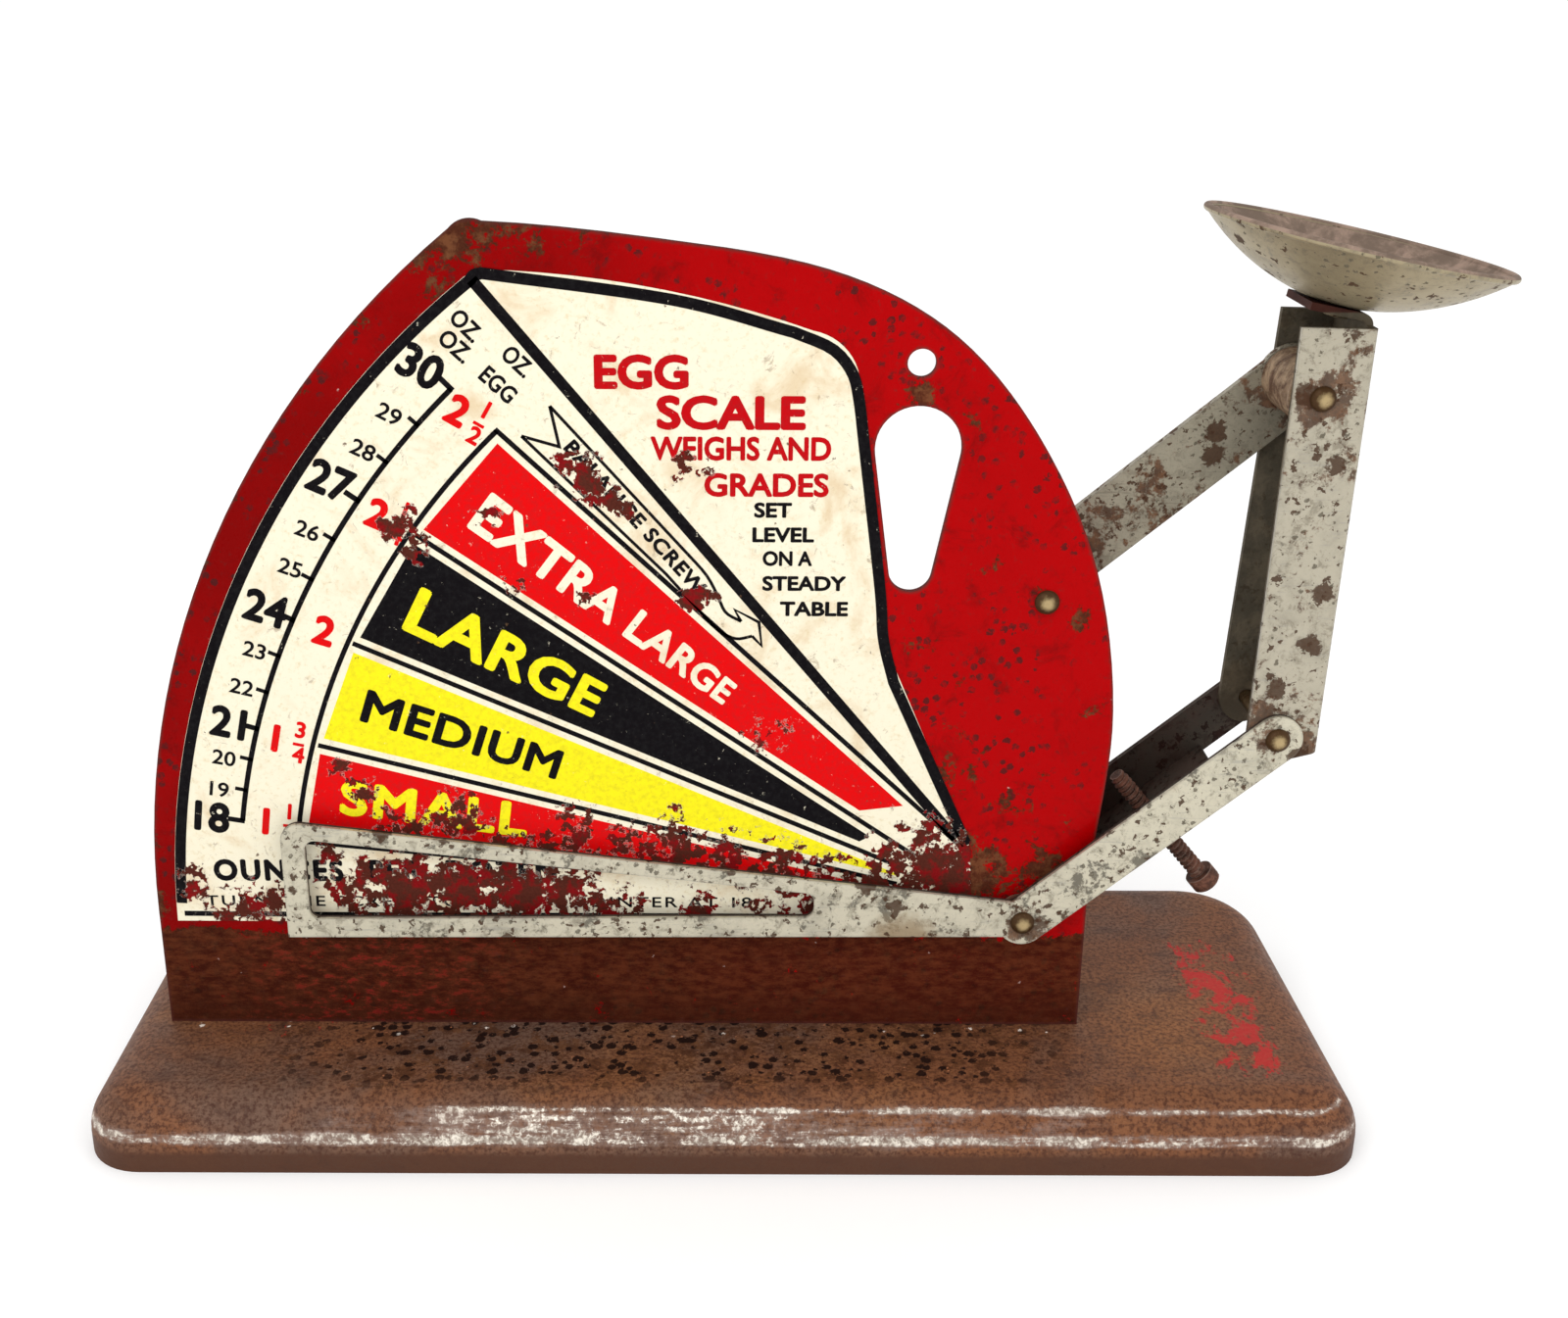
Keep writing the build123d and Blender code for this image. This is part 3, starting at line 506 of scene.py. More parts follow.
@dataclass(frozen=True)
class TrayFinish:
    """Old brown paint over steel, with remnants of red, two bright bands along its rim that are partly worn
    bare metal and partly painted highlight, and painted shade low on its sides.
    """

    paint: Colour = (0.215, 0.085, 0.038)
    grey: Colour = (0.155, 0.088, 0.060)
    warm: Colour = (0.27, 0.115, 0.045)
    glow: Colour = (0.33, 0.135, 0.045)
    grain_dark: Colour = (0.058, 0.020, 0.012)
    murk: Colour = (0.056, 0.025, 0.018)
    pale: Colour = (0.40, 0.26, 0.18)
    pit: Colour = (0.012, 0.005, 0.004)
    fleck: Colour = (0.50, 0.19, 0.09)
    crumb: Colour = (0.90, 0.80, 0.70)
    red: Colour = (0.46, 0.020, 0.018)
    # rubbed is a painted sheen on the rounded front edge
    rubbed: Colour = (0.30, 0.215, 0.18)
    dull_metal: Colour = (0.26, 0.20, 0.16)
    # bright_metal is worn bare metal and painted highlight alike
    bright_metal: Colour = (0.90, 0.83, 0.72)
    # the skirt colours are painted shade on the tray's lower side
    skirt_dark: Colour = (0.035, 0.014, 0.009)
    skirt_light: Colour = (0.12, 0.050, 0.028)
    upper_band: Point = (8.15, 8.85)
    lower_band: Point = (4.3, 6.1)

    def make(self) -> bpy.types.Material:
        """Returns the tray's material."""
        surface = Surface("tray_paint")
        place = surface.place
        x, y, z = place.axes()
        cloud, grain = place.noise(0.040, 5.0, 0.6, 0.5), place.noise(1.6, 6.0, 0.72)
        warm = place.plus((31.0, 7.0, 0.0)).noise(0.055, 4.0).step(0.52, 0.70)
        colour = cloud.step(0.38, 0.62).mix(self.grey, self.paint).coat(warm * 0.55, self.warm)
        glow = x.band(56.0, 72.0, 9.0) * y.band(-26.0, 0.0, 9.0)
        colour = colour.coat(glow * 0.55, self.glow).coat(grain.step(0.42, 0.62) * 0.8, self.grain_dark)
        murk = place.times((0.6, 1.0, 1.0)).noise(0.33, 6.0, 0.75, 0.6).step(0.48, 0.66)
        pale = place.noise(2.4, 4.0, 0.75).step(0.58, 0.80)
        colour = colour.coat(murk * 0.50, self.murk).coat(pale * 0.42, self.pale)
        middle = y.band(-28.0, 0.0, 3.5) * x.band(-62.0, 46.0, 14.0)
        rust = EFFECTS.use("corrosion", place, Scale=0.35, Cover=0.22, Bias=middle * 0.10)
        pits = EFFECTS.use("specks", place, Scale=0.62, Share=0.80, Size=0.44)["Mask"] * (middle * 0.95)
        colour = colour.coat(rust["Mask"] * 0.75, rust["Colour"]).coat(pits, self.pit)
        beside = place.plus((5.0, 3.0, 1.0))
        flecks = EFFECTS.use("specks", beside, Scale=1.3, Share=0.24, Size=0.16)["Mask"]
        crumbs = EFFECTS.use("specks", place, Scale=0.55, Share=0.22, Size=0.20)["Mask"]
        colour = colour.coat(flecks * (middle * 0.9), self.fleck)
        colour = colour.coat(crumbs * y.band(-15.5, -12.6, 1.6), self.crumb)
        colour, bright = self.bright_bands(place, self.red_remnants(place, colour))
        # painted shade: the tray's side darkens below about 3.8 mm, towards the floor
        skirt = grain.mix(self.skirt_dark, self.skirt_light)
        surface.set(
            Base_Color=colour.coat(z.step(3.8, 2.6) * 0.85, skirt),
            Metallic=bright * 0.55,
            Roughness=bright.blend(grain.blend(0.42, 0.66), 0.38),
            IOR=METAL_IOR,
        )
        surface.bump(grain * 0.35 - pits * 0.7, 0.16, 0.8)
        return surface.material

    def red_remnants(self, place: Value, colour: Value) -> Value:
        """Streaks of the first red paint, at the right end and thinly by the dial's left foot."""
        x, y, z = place.axes()
        streaks = place.times((1.0, 0.75, 1.0)).noise(0.20, 6.0, 0.80, 0.4)
        right = x.band(69.0, 81.0, 4.0) * y.band(-27.0, 14.0, 6.0)
        left = x.band(-78.0, -44.0, 9.0) * y.band(-17.0, 4.0, 5.0)
        level = streaks + right.peak(left * 0.62) * 0.27
        mask = level.step(0.735, 0.80) * z.step(8.9, 9.6)
        return colour.coat(mask * 0.88, self.red)

    def bright_bands(self, place: Value, colour: Value) -> tuple[Value, Value]:
        """The two bright bands, bare worn metal with painted highlight on it, broken up by noise, widest
        along the front left.

        Args:
            place: the place in millimetres.
            colour: the paint that the metal shows through.

        Returns:
            The colour with the bands, and their mask.
        """
        x, y, z = place.axes()
        streaks = place.times((0.22, 1.0, 2.2)).noise(0.55, 4.0, 0.7)
        grains = place.noise(1.1, 5.0, 0.75, 0.4)
        patches = place.times((0.5, 0.0, 0.5)).noise(0.14, 3.0, 0.6)
        share = y.step(-20.0, -30.0).peak(x.step(78.0, 84.0) * 0.75)
        centre = x.band(-42.0, 18.0, 26.0)
        upper = z.band(*self.upper_band, 0.35) * x.step(-62.0, -25.0)
        # painted highlight: the band heights on the rounded front edge, strongest in the middle
        between = z.band(4.2, 8.4, 0.6) * (centre * 0.97)
        near = upper.peak(z.band(*self.lower_band, 0.60)).peak(between) * share
        mixed = streaks * 0.40 + grains * 0.35 + patches * 0.45
        mask = (mixed + near * 0.24).step(0.790, 0.870) * near
        mask = mask.math("MULTIPLY", centre.blend(0.85, 1.25), clamp=True)
        halo = (mixed + near * 0.20).step(0.64, 0.84)
        # painted sheen: a pale tint over the rounded front edge, broken up by the halo noise
        sheen = z.band(4.2, 8.8, 0.7) * (share * halo)
        metal = grains.step(0.42, 0.66).mix(self.dull_metal, self.bright_metal)
        return colour.coat(sheen * 0.70, self.rubbed).coat(mask, metal), mask


@dataclass(frozen=True)
class TinFinish:
    """Tinned sheet: bright where it faces out, spotted with grey corrosion and brown rust.

    Faces behind front_y, or facing up where dull_above is set, take the dark inner colour, and
    what is over crown_z is crusted.  The rings are stains round the pivots.
    """

    name: str
    bright: Colour
    inner: Colour = (0.050, 0.028, 0.022)
    shade: Colour = (0.30, 0.29, 0.265)
    front_y: float = 100.0
    grey_cover: float = 0.30
    rust_cover: float = 0.10
    patch_scale: float = 0.22
    metal: float = 0.45
    blotches: float = 0.0
    crown_z: float = 1000.0
    dull_above: bool = False
    rings: tuple[Spot, ...] = ()
    grey: tuple[Colour, Colour] = ((0.030, 0.027, 0.021), (0.150, 0.135, 0.105))
    tan: tuple[Colour, Colour] = ((0.13, 0.075, 0.030), (0.36, 0.25, 0.13))
    blot: tuple[Colour, Colour] = ((0.018, 0.007, 0.004), (0.10, 0.046, 0.022))
    crust: tuple[Colour, Colour] = ((0.012, 0.004, 0.003), (0.085, 0.018, 0.012))
    mottle: Colour = (0.19, 0.165, 0.12)
    dot: Colour = (0.095, 0.080, 0.055)
    edge: Colour = (0.20, 0.185, 0.16)

    def make(self) -> bpy.types.Material:
        """Returns the tin's material."""
        surface = Surface(self.name)
        place = surface.place
        _, y, z = place.axes()
        soft, grain = place.noise(0.16, 6.0, 0.7, 0.3), place.noise(2.7, 5.0, 0.75)
        colour = soft.step(0.44, 0.70).mix(self.bright, tuple(c * 0.80 for c in self.bright))
        lines = EFFECTS.use("scratches", place, Amount=0.3)["Mask"]
        colour = colour.coat(grain.step(0.52, 0.78) * 0.55, self.shade).coat(lines * 0.4, self.shade)
        grey = EFFECTS.use("corrosion", place, Scale=self.patch_scale, Cover=self.grey_cover)["Mask"] * 0.82
        mottle = place.plus((3.0, 41.0, 8.0)).noise(0.5, 6.0, 0.78, 0.5).step(0.50, 0.64)
        dots = EFFECTS.use("specks", place, Scale=0.95, Share=0.60, Size=0.28)["Mask"] * 0.80
        colour = colour.coat(grey, grain.mix(*self.grey)).coat(mottle * 0.62, self.mottle)
        colour = colour.coat(dots, self.dot)
        moved = place.plus((17.0, 9.0, 4.0))
        near = spot_field(place, self.rings) * 0.30
        rust = EFFECTS.use("corrosion", moved, Scale=0.17, Cover=self.rust_cover, Bias=near)
        uneven = moved.plus(place.jitter(0.9).times((2.6, 2.6, 2.6)))
        large = EFFECTS.use("specks", uneven, Scale=0.22, Share=self.blotches, Size=0.30)["Mask"]
        small = EFFECTS.use("specks", uneven, Scale=0.62, Share=self.blotches * 1.5, Size=0.32)["Mask"]
        blot = large.peak(small) * 0.90
        tan = spot_field(uneven, self.rings).step(0.10, 0.55) * 0.75
        colour = colour.coat(rust["Mask"] * 0.86, rust["Colour"]).coat(tan, grain.mix(*self.tan))
        edges = EFFECTS.use("worn_edges", place, Radius=0.0005)["Mask"]
        colour = colour.coat(blot, grain.mix(*self.blot)).coat(edges * 0.30, self.edge)
        behind = y.step(self.front_y, self.front_y + 0.25)
        if self.dull_above:
            behind = surface.normal()[2].step(0.10, 0.30)
        dark = soft.step(0.40, 0.62).mix(self.inner, tuple(c * 2.2 for c in self.inner))
        crown = z.step(self.crown_z, self.crown_z + 0.3)
        colour = colour.coat(behind * 0.93, dark).coat(crown * 0.93, soft.mix(*self.crust))
        dull = grey.peak(dots).peak(rust["Mask"]).peak(blot).peak(behind.peak(crown))
        surface.set(
            Base_Color=colour,
            Metallic=(1.0 - dull) * self.metal,
            Roughness=dull.blend(soft.blend(0.28, 0.46), 0.70),
            IOR=METAL_IOR,
        )
        surface.bump(grain * 0.18 - dull * 0.45, 0.10, 0.7)
        return surface.material


@dataclass(frozen=True)
class RustyFinish:
    """Bare steel gone brown: washers, tubes, weights, feet and the balance screw."""

    name: str
    dark: Colour = (0.040, 0.018, 0.013)
    light: Colour = (0.165, 0.070, 0.042)
    grain: Colour = (0.24, 0.11, 0.065)
    steel: Colour = (0.36, 0.33, 0.29)
    edge: Colour = (0.40, 0.30, 0.24)
    steel_cover: float = 0.10

    def make(self) -> bpy.types.Material:
        """Returns the rusty steel's material."""
        surface = Surface(self.name)
        place = surface.place
        grain = place.noise(3.4, 5.0, 0.75)
        colour = place.noise(0.35, 6.0, 0.7, 0.5).step(0.36, 0.66).mix(self.dark, self.light)
        steel = EFFECTS.use("corrosion", place, Scale=0.5, Cover=self.steel_cover)["Mask"]
        edges = EFFECTS.use("worn_edges", place, Radius=0.0003)["Mask"]
        colour = colour.coat(grain.step(0.5, 0.75) * 0.6, self.grain)
        colour = colour.coat(steel, self.steel).coat(edges * 0.5, self.edge)
        rough = grain.blend(0.48, 0.80)
        surface.set(Base_Color=colour, Metallic=steel * 0.7, Roughness=rough, IOR=METAL_IOR)
        surface.bump(grain, 0.10, 0.9)
        return surface.material


@dataclass(frozen=True)
class BrassFinish:
    """Tarnished brass rivets, bright on the crown and dark where the head meets the sheet."""

    bright: Colour = (0.44, 0.33, 0.17)
    dark: Colour = (0.060, 0.030, 0.012)
    stain: Colour = (0.11, 0.06, 0.03)

    def make(self) -> bpy.types.Material:
        """Returns the brass's material, which reads how far each point is from the head's rim."""
        surface = Surface("rivet_brass")
        place = surface.place
        crown = place.node("Attribute", {}, "Fac", attribute_name="crown")
        stain = place.noise(1.3, 5.0, 0.7)
        level = crown + stain * 0.7
        colour = level.step(0.60, 1.15).mix(self.dark, self.bright)
        surface.set(
            Base_Color=colour.coat(stain.step(0.55, 0.72) * 0.55, self.stain),
            Metallic=level.step(0.45, 0.9).blend(0.25, 0.9),
            Roughness=stain.blend(0.24, 0.58),
            IOR=METAL_IOR,
        )
        surface.bump(stain, 0.08, 0.6)
        return surface.material


# ---------------------------------------------------------------- meshes


def in_millimetres(place: object) -> np.ndarray:
    """A place in metres as an array in millimetres."""
    return np.array(list(place), float) / MM


def node_box(name: str) -> tuple[np.ndarray, np.ndarray]:
    """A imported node's lowest and highest corners at rest, in millimetres."""
    low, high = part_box(name)
    return in_millimetres(low), in_millimetres(high)


def vertices(mesh: bpy.types.Mesh) -> np.ndarray:
    """A mesh's vertices, N by 3, in its own unit."""
    points = np.empty(len(mesh.vertices) * 3, np.float32)
    mesh.vertices.foreach_get("co", points)
    return points.reshape(-1, 3)


def make_piece(
    name: str, points: np.ndarray, faces: Faces, crease: float | None = None, closed: bool = True
) -> bpy.types.Object:
    """Makes an object at the origin.

    Args:
        name: the piece's name.
        points: its vertices in millimetres, N by 3.
        faces: rows of vertex numbers.
        crease: the angle in degrees past which its smooth shading stays sharp, or none for flat shading.
        closed: whether its doubles are merged and its faces turned outwards.

    Returns:
        The object, linked to the scene.
    """
    mesh = bpy.data.meshes.new(name)
    mesh.from_pydata((points * MM).tolist(), [], faces if isinstance(faces, list) else faces.tolist())
    mesh.validate()
    if closed:
        shell = bmesh.new()
        shell.from_mesh(mesh)
        bmesh.ops.remove_doubles(shell, verts=shell.verts, dist=MERGE_DISTANCE)
        bmesh.ops.recalc_face_normals(shell, faces=shell.faces)
        shell.to_mesh(mesh)
        shell.free()
    if crease is not None:
        mesh.shade_smooth()
        mesh.set_sharp_from_angle(angle=math.radians(crease))
    piece = bpy.data.objects.new(name, mesh)
    bpy.context.scene.collection.objects.link(piece)
    return piece


def finish_piece(piece: bpy.types.Object, material: bpy.types.Material, body: Body) -> None:
    """Dresses a piece, puts it on its body and logs its face count."""
    piece.data.materials.clear()
    piece.data.materials.append(material)
    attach(piece, body.value)
    LOG.info("%s: %d faces on %s", piece.name, len(piece.data.polygons), body.value)


def tube_faces(rows: int, around: int) -> list[list[int]]:
    """The faces of a closed tube: rows by around points, row after row, then the two poles.

    Args:
        rows: how many rings of points there are.
        around: how many points a ring has.

    Returns:
        Quads between neighbouring rings, then a fan of triangles at each end.
    """
    ring = np.arange(around)
    beyond = (ring + 1) % around
    at = np.arange(rows - 1)[:, None] * around
    quads = np.stack([at + ring, at + beyond, at + around + beyond, at + around + ring], axis=-1)
    total = rows * around
    base = total - around
    first = np.stack([np.full(around, total), beyond, ring], axis=1)
    last = np.stack([np.full(around, total + 1), base + ring, base + beyond], axis=1)
    return quads.reshape(-1, 4).tolist() + first.tolist() + last.tolist()


@dataclass
class Patches:
    """Flat prisms on the dial's plane that gather into one printed piece.

    Each prism is a strip between two edges with the same number of points.  It has a front and a back
    face row, the two long sides and the two ends, so it is closed.
    """

    front: float
    back: float
    points: list[np.ndarray] = field(default_factory=list)
    faces: list[np.ndarray] = field(default_factory=list)
    count: int = 0

    def strip(self, upper: np.ndarray, lower: np.ndarray) -> None:
        """Adds a prism between an upper and a lower edge, both N by 2 in X and Z, from left to right."""
        n = len(upper)
        edges = ((upper, self.front), (lower, self.front), (lower, self.back), (upper, self.back))
        at = np.arange(n - 1)
        sides = [
            np.stack([a * n + at, b * n + at, b * n + at + 1, a * n + at + 1], axis=1)
            for a, b in ((0, 1), (1, 2), (2, 3), (3, 0))
        ]
        ends = np.array([[0, 3 * n, 2 * n, n], [n - 1, 2 * n - 1, 3 * n - 1, 4 * n - 1]])
        self.points.append(np.concatenate([np.insert(edge, 1, y, axis=1) for edge, y in edges]))
        self.faces.append(np.concatenate([*sides, ends]) + self.count)
        self.count += 4 * n

    def line(self, path: np.ndarray | list[Point], width: float) -> None:
        """Adds a line of one width: its edges are the path moved half a width along its mitred normals."""
        path = np.array(path)
        run = np.diff(path, axis=0)
        run = run / np.linalg.norm(run, axis=1)[:, None]
        side = np.stack([-run[:, 1], run[:, 0]], axis=1)
        before, after = np.vstack([side[:1], side]), np.vstack([side, side[-1:]])
        mitre = before + after
        mitre = mitre / np.maximum((mitre * before).sum(1), 0.35)[:, None]
        self.strip(path + mitre * width / 2, path - mitre * width / 2)

    def piece(self, name: str) -> bpy.types.Object:
        """Returns the gathered prisms as one object."""
        return make_piece(name, np.concatenate(self.points), np.concatenate(self.faces))


def letter_mesh(words: str, weight: float, spacing: float = 1.0) -> tuple[np.ndarray, list[list[int]]]:
    """The letters of a text, with the baseline at 0, a cap height of 1 and a thickness of 1.

    A heavier stroke is the letter laid down again at eight shifts round a small circle, each a hair
    thicker than the one before, so that no two faces lie in one plane.

    Args:
        words: the text.
        weight: the shifts' radius, as a share of the cap height.
        spacing: the space between letters, 1 as the font has it.

    Returns:
        The points, whose x starts at 0, and the faces.
    """
    curve = bpy.data.curves.new("letters", "FONT")
    curve.body = words
    curve.space_character = spacing
    curve.extrude = 0.5
    curve.resolution_u = LETTER_STEPS
    holder = bpy.data.objects.new("letters", curve)
    bpy.context.scene.collection.objects.link(holder)
    bpy.context.view_layer.update()
    mesh = bpy.data.meshes.new_from_object(holder.evaluated_get(bpy.context.evaluated_depsgraph_get()))
    points = vertices(mesh).astype(float)
    rows = [list(p.vertices) for p in mesh.polygons]
    bpy.data.objects.remove(holder)
    bpy.data.curves.remove(curve)
    bpy.data.meshes.remove(mesh)
    points[:, :2] /= FONT_CAP
    copies = BOLD_COPIES if weight > 0 else 1
    turn = np.arange(copies) * 2 * math.pi / copies
    stack = np.repeat(points[None], copies, axis=0)
    stack[:, :, :2] += np.stack([weight * np.cos(turn), weight * np.sin(turn)], axis=1)[:, None]
    stack[:, :, 2] *= (1 + COPY_GROWTH * np.arange(copies))[:, None]
    stack = stack.reshape(-1, 3)
    stack[:, 0] -= stack[:, 0].min()
    return stack, [[i + k * len(points) for i in row] for k in range(copies) for row in rows]


@dataclass(frozen=True)
class Words:
    """A text on the dial's plane.

    The baseline runs from start to end, and the letters shrink from the first cap height to the last,
    with their widths shrinking alike: at share s of the text, the place along the baseline is the
    integral of the height up to s over the whole integral.
    """

    text: str
    start: Point
    end: Point
    heights: Point
    weight: float
    spacing: float = 1.0

    def letters(self) -> tuple[np.ndarray, np.ndarray, list[list[int]]]:
        """Returns the places in X and Z, the lift out of the plane as a share, and the faces."""
        flat, faces = letter_mesh(self.text, self.weight, self.spacing)
        first, last = self.heights
        share = flat[:, 0] / flat[:, 0].max()
        along = (first * share + (last - first) * share**2 / 2) / ((first + last) / 2)
        height = first + (last - first) * share
        start, end = np.array(self.start), np.array(self.end)
        way = (end - start) / np.linalg.norm(end - start)
        up = np.array([-way[1], way[0]])
        place = start + (end - start) * along[:, None] + up * (flat[:, 1] * height)[:, None]
        return place, flat[:, 2], faces


def turned(centre: Point, x: object, z: object, turn: float) -> tuple[object, object]:
    """A place x along and z above a centre, on axes turned clockwise by an angle in degrees."""
    cos, sin = math.cos(math.radians(-turn)), math.sin(math.radians(-turn))
    return centre[0] + x * cos - z * sin, centre[1] + x * sin + z * cos


@dataclass(frozen=True)
class Figure:
    """A number centred on a point of the dial, turned clockwise by an angle in degrees."""

    text: str
    centre: Point
    height: float
    turn: float
    weight: float
    squeeze: float = 1.0

    def letters(self) -> tuple[np.ndarray, np.ndarray, list[list[int]]]:
        """Returns the places in X and Z, the lift out of the plane as a share, and the faces."""
        flat, faces = letter_mesh(self.text, self.weight)
        x = (flat[:, 0] - flat[:, 0].max() / 2) * self.height * self.squeeze
        place = turned(self.centre, x, (flat[:, 1] - 0.5) * self.height, self.turn)
        return np.stack(place, axis=1), flat[:, 2], faces


def smooth_path(knots: list[Point], count: int) -> np.ndarray:
    """Points on a Catmull-Rom curve through the knots, evenly spaced in its parameter.

    Args:
        knots: the points that the curve passes.
        count: how many points come out.

    Returns:
        The points, count by 2.
    """
    k = np.array(knots, float)
    k = np.vstack([2 * k[0] - k[1], k, 2 * k[-1] - k[-2]])
    t = np.linspace(0, len(knots) - 1 - 1e-9, count)
    i = t.astype(int)
    u = (t - i)[:, None]
    a, b, c, d = k[i], k[i + 1], k[i + 2], k[i + 3]
    return 0.5 * (2 * b + (c - a) * u + (2 * a - 5 * b + 4 * c - d) * u**2 + (3 * b - a - 3 * c + d) * u**3)


def inset_line(line: tuple[Point, Point], shift: float, centre: Point, radius: float) -> np.ndarray:
    """A line moved sideways and cut where it leaves a circle, as evenly spaced points.

    Args:
        line: its first point, outside the circle or on it, and its last point.
        shift: how far it moves to its left side.
        centre: the circle's centre.
        radius: the circle's radius.

    Returns:
        The points, 24 by 2.
    """
    a, b = np.array(line)
    way = (b - a) / np.linalg.norm(b - a)
    side = np.array([-way[1], way[0]]) * shift
    a, b = a + side, b + side
    offset = a - np.array(centre)
    inward = offset @ way
    root = math.sqrt(max(inward**2 - offset @ offset + radius**2, 0.0))
    a = a + way * (-inward - root)
    return a + np.linspace(0, 1, 24)[:, None] * (b - a)


# ---------------------------------------------------------------- sub-assemblies


@dataclass
class DialPrint:
    """The label's print: border, scale, four grade sectors, numbers and words.

    All arcs are about one centre.  The four sectors lie between lines that run from the inner arc to
    near the lever's pivot, and each is filled a margin inside its lines.
    """

    centre: Point = (41.1, 25.1)
    border_radius: float = 119.0
    border_width: float = 1.5
    scale_radius: float = 110.5
    scale_width: float = 0.72
    sector_radius: float = 102.6
    line_width: float = 0.68
    arrow_width: float = 0.42
    margin: float = 1.22
    narrowest: float = 0.35
    sink: float = 0.02
    fill_stand: float = 0.020
    line_stand: float = 0.030
    grade_stand: float = 0.045
    marks: dict[int, float] = field(
        default_factory=lambda: {30: 46.0, 27: 35.7, 24: 25.6, 21: 16.7, 18: 9.2}
    )
    corner: Point = (-33.3, 119.2)
    sector_lines: tuple[tuple[Point, Point], ...] = (
        ((-30.2, 99.3), (34.0, 38.6)),
        ((-41.3, 84.9), (27.0, 37.6)),
        ((-50.7, 69.5), (25.0, 35.9)),
        ((-56.5, 54.4), (24.5, 33.2)),
        ((-60.4, 39.6), (22.0, 31.2)),
    )

    def __post_init__(self) -> None:
        """Reads where the label's front face is."""
        self.face = node_box("dial_label")[0][1]

    def arc(self, radius: float, start: float, end: float, count: int) -> np.ndarray:
        """Points on an arc about the centre, its angles measured up from level on the left."""
        turn = np.radians(np.linspace(start, end, count))
        return np.array(self.centre) + radius * np.stack([-np.cos(turn), np.sin(turn)], axis=1)

    def angle_of(self, point: Point) -> float:
        """A point's angle above level on the left, seen from the centre."""
        return math.degrees(math.atan2(point[1] - self.centre[1], self.centre[0] - point[0]))

    def patches(self, stand: float) -> Patches:
        """An empty gathering of prisms that stand this far in front of the label."""
        return Patches(self.face - stand, self.face + self.sink)

    def border(self) -> bpy.types.Object:
        """The heavy black line round the label, with its rounded corners, and the thick diagonal."""
        gather = self.patches(self.line_stand)
        left = self.arc(self.border_radius, 2.2, self.angle_of(self.corner), 60)
        top = smooth_path([tuple(left[-1]), (-31.6, 119.3), (-28.0, 119.0), (-6.6, 116.1), (8.5, 112.1)], 40)
        shoulder = smooth_path([(8.5, 112.1), (13.4, 110.0), (16.0, 107.0), (17.0, 103.5), (17.8, 98.0)], 16)
        right = smooth_path([(17.8, 98.0), (20.6, 77.7), (21.3, 70.5), (22.9, 64.2)], 30)
        gather.line(np.vstack([left, top[1:], shoulder[1:], right[1:], [(34.2, 39.4)]]), self.border_width)
        gather.line([(-32.4, 118.6), (32.6, 40.4)], self.border_width)
        gather.line([(-77.6, 28.0), (-56.0, 27.9), (12.0, 27.9)], 0.8)
        return gather.piece("border_lines")

    def scale(self) -> bpy.types.Object:
        """The scale's arc with a tick at each ounce; the ounces between two marks are evenly spaced."""
        gather = self.patches(self.line_stand)
        gather.line(self.arc(self.scale_radius, self.marks[18], self.marks[30], 50), self.scale_width)
        known = sorted(self.marks)
        for ounce in range(known[0], known[-1] + 1):
            turn = float(np.interp(ounce, known, [self.marks[k] for k in known]))
            reach, width = (2.1, 0.75) if ounce in self.marks else (1.5, 0.55)
            ends = [self.arc(self.scale_radius + over, turn, turn, 1) for over in (reach, -0.3)]
            gather.line(np.vstack(ends), width)
        return gather.piece("ounce_scale")

    def sector_outline(self) -> bpy.types.Object:
        """The thin black lines round the sectors, and the arc at their wide ends."""
        gather = self.patches(self.line_stand)
        for line in self.sector_lines:
            gather.line(line, self.line_width)
        first, last = self.angle_of(self.sector_lines[-1][0]), self.angle_of(self.sector_lines[0][0])
        gather.line(self.arc(self.sector_radius, first, last, 50), self.line_width)
        return gather.piece("sector_lines")

    def sector_fill(self, index: int, name: str) -> bpy.types.Object:
        """The colour of one sector, counted from the top, a margin inside its two lines and its arc."""
        gather = self.patches(self.fill_stand)
        radius = self.sector_radius - self.margin
        upper, lower = (
            inset_line(line, shift, self.centre, radius)
            for line, shift in zip(self.sector_lines[index : index + 2], (-self.margin, self.margin))
        )
        keep = upper[:, 1] - lower[:, 1] > self.narrowest
        gather.strip(upper[keep], lower[keep])
        return gather.piece(name)

    def strip_arrow(self) -> bpy.types.Object:
        """The outlined arrow with a notched tail that runs beside the diagonal."""
        gather = self.patches(self.line_stand)
        upper = smooth_path([(-5.9, 83.2), (-2.8, 79.6), (-1.2, 76.6), (-0.1, 74.2), (2.0, 72.9)], 16)
        lower = smooth_path([(3.5, 70.8), (1.4, 70.4), (-0.6, 71.3), (-2.4, 73.0), (-8.1, 79.6)], 16)
        for path in (
            np.vstack([[(-23.0, 102.4)], upper]),
            [(2.0, 72.9), (1.1, 74.6), (4.4, 72.8), (4.8, 69.4), (3.5, 70.8)],
            np.vstack([lower, [(-26.8, 98.4)]]),
            [(-26.8, 98.4), (-21.9, 97.0), (-23.0, 102.4)],
        ):
            gather.line(path, self.arrow_width)
        return gather.piece("arrow_outline")

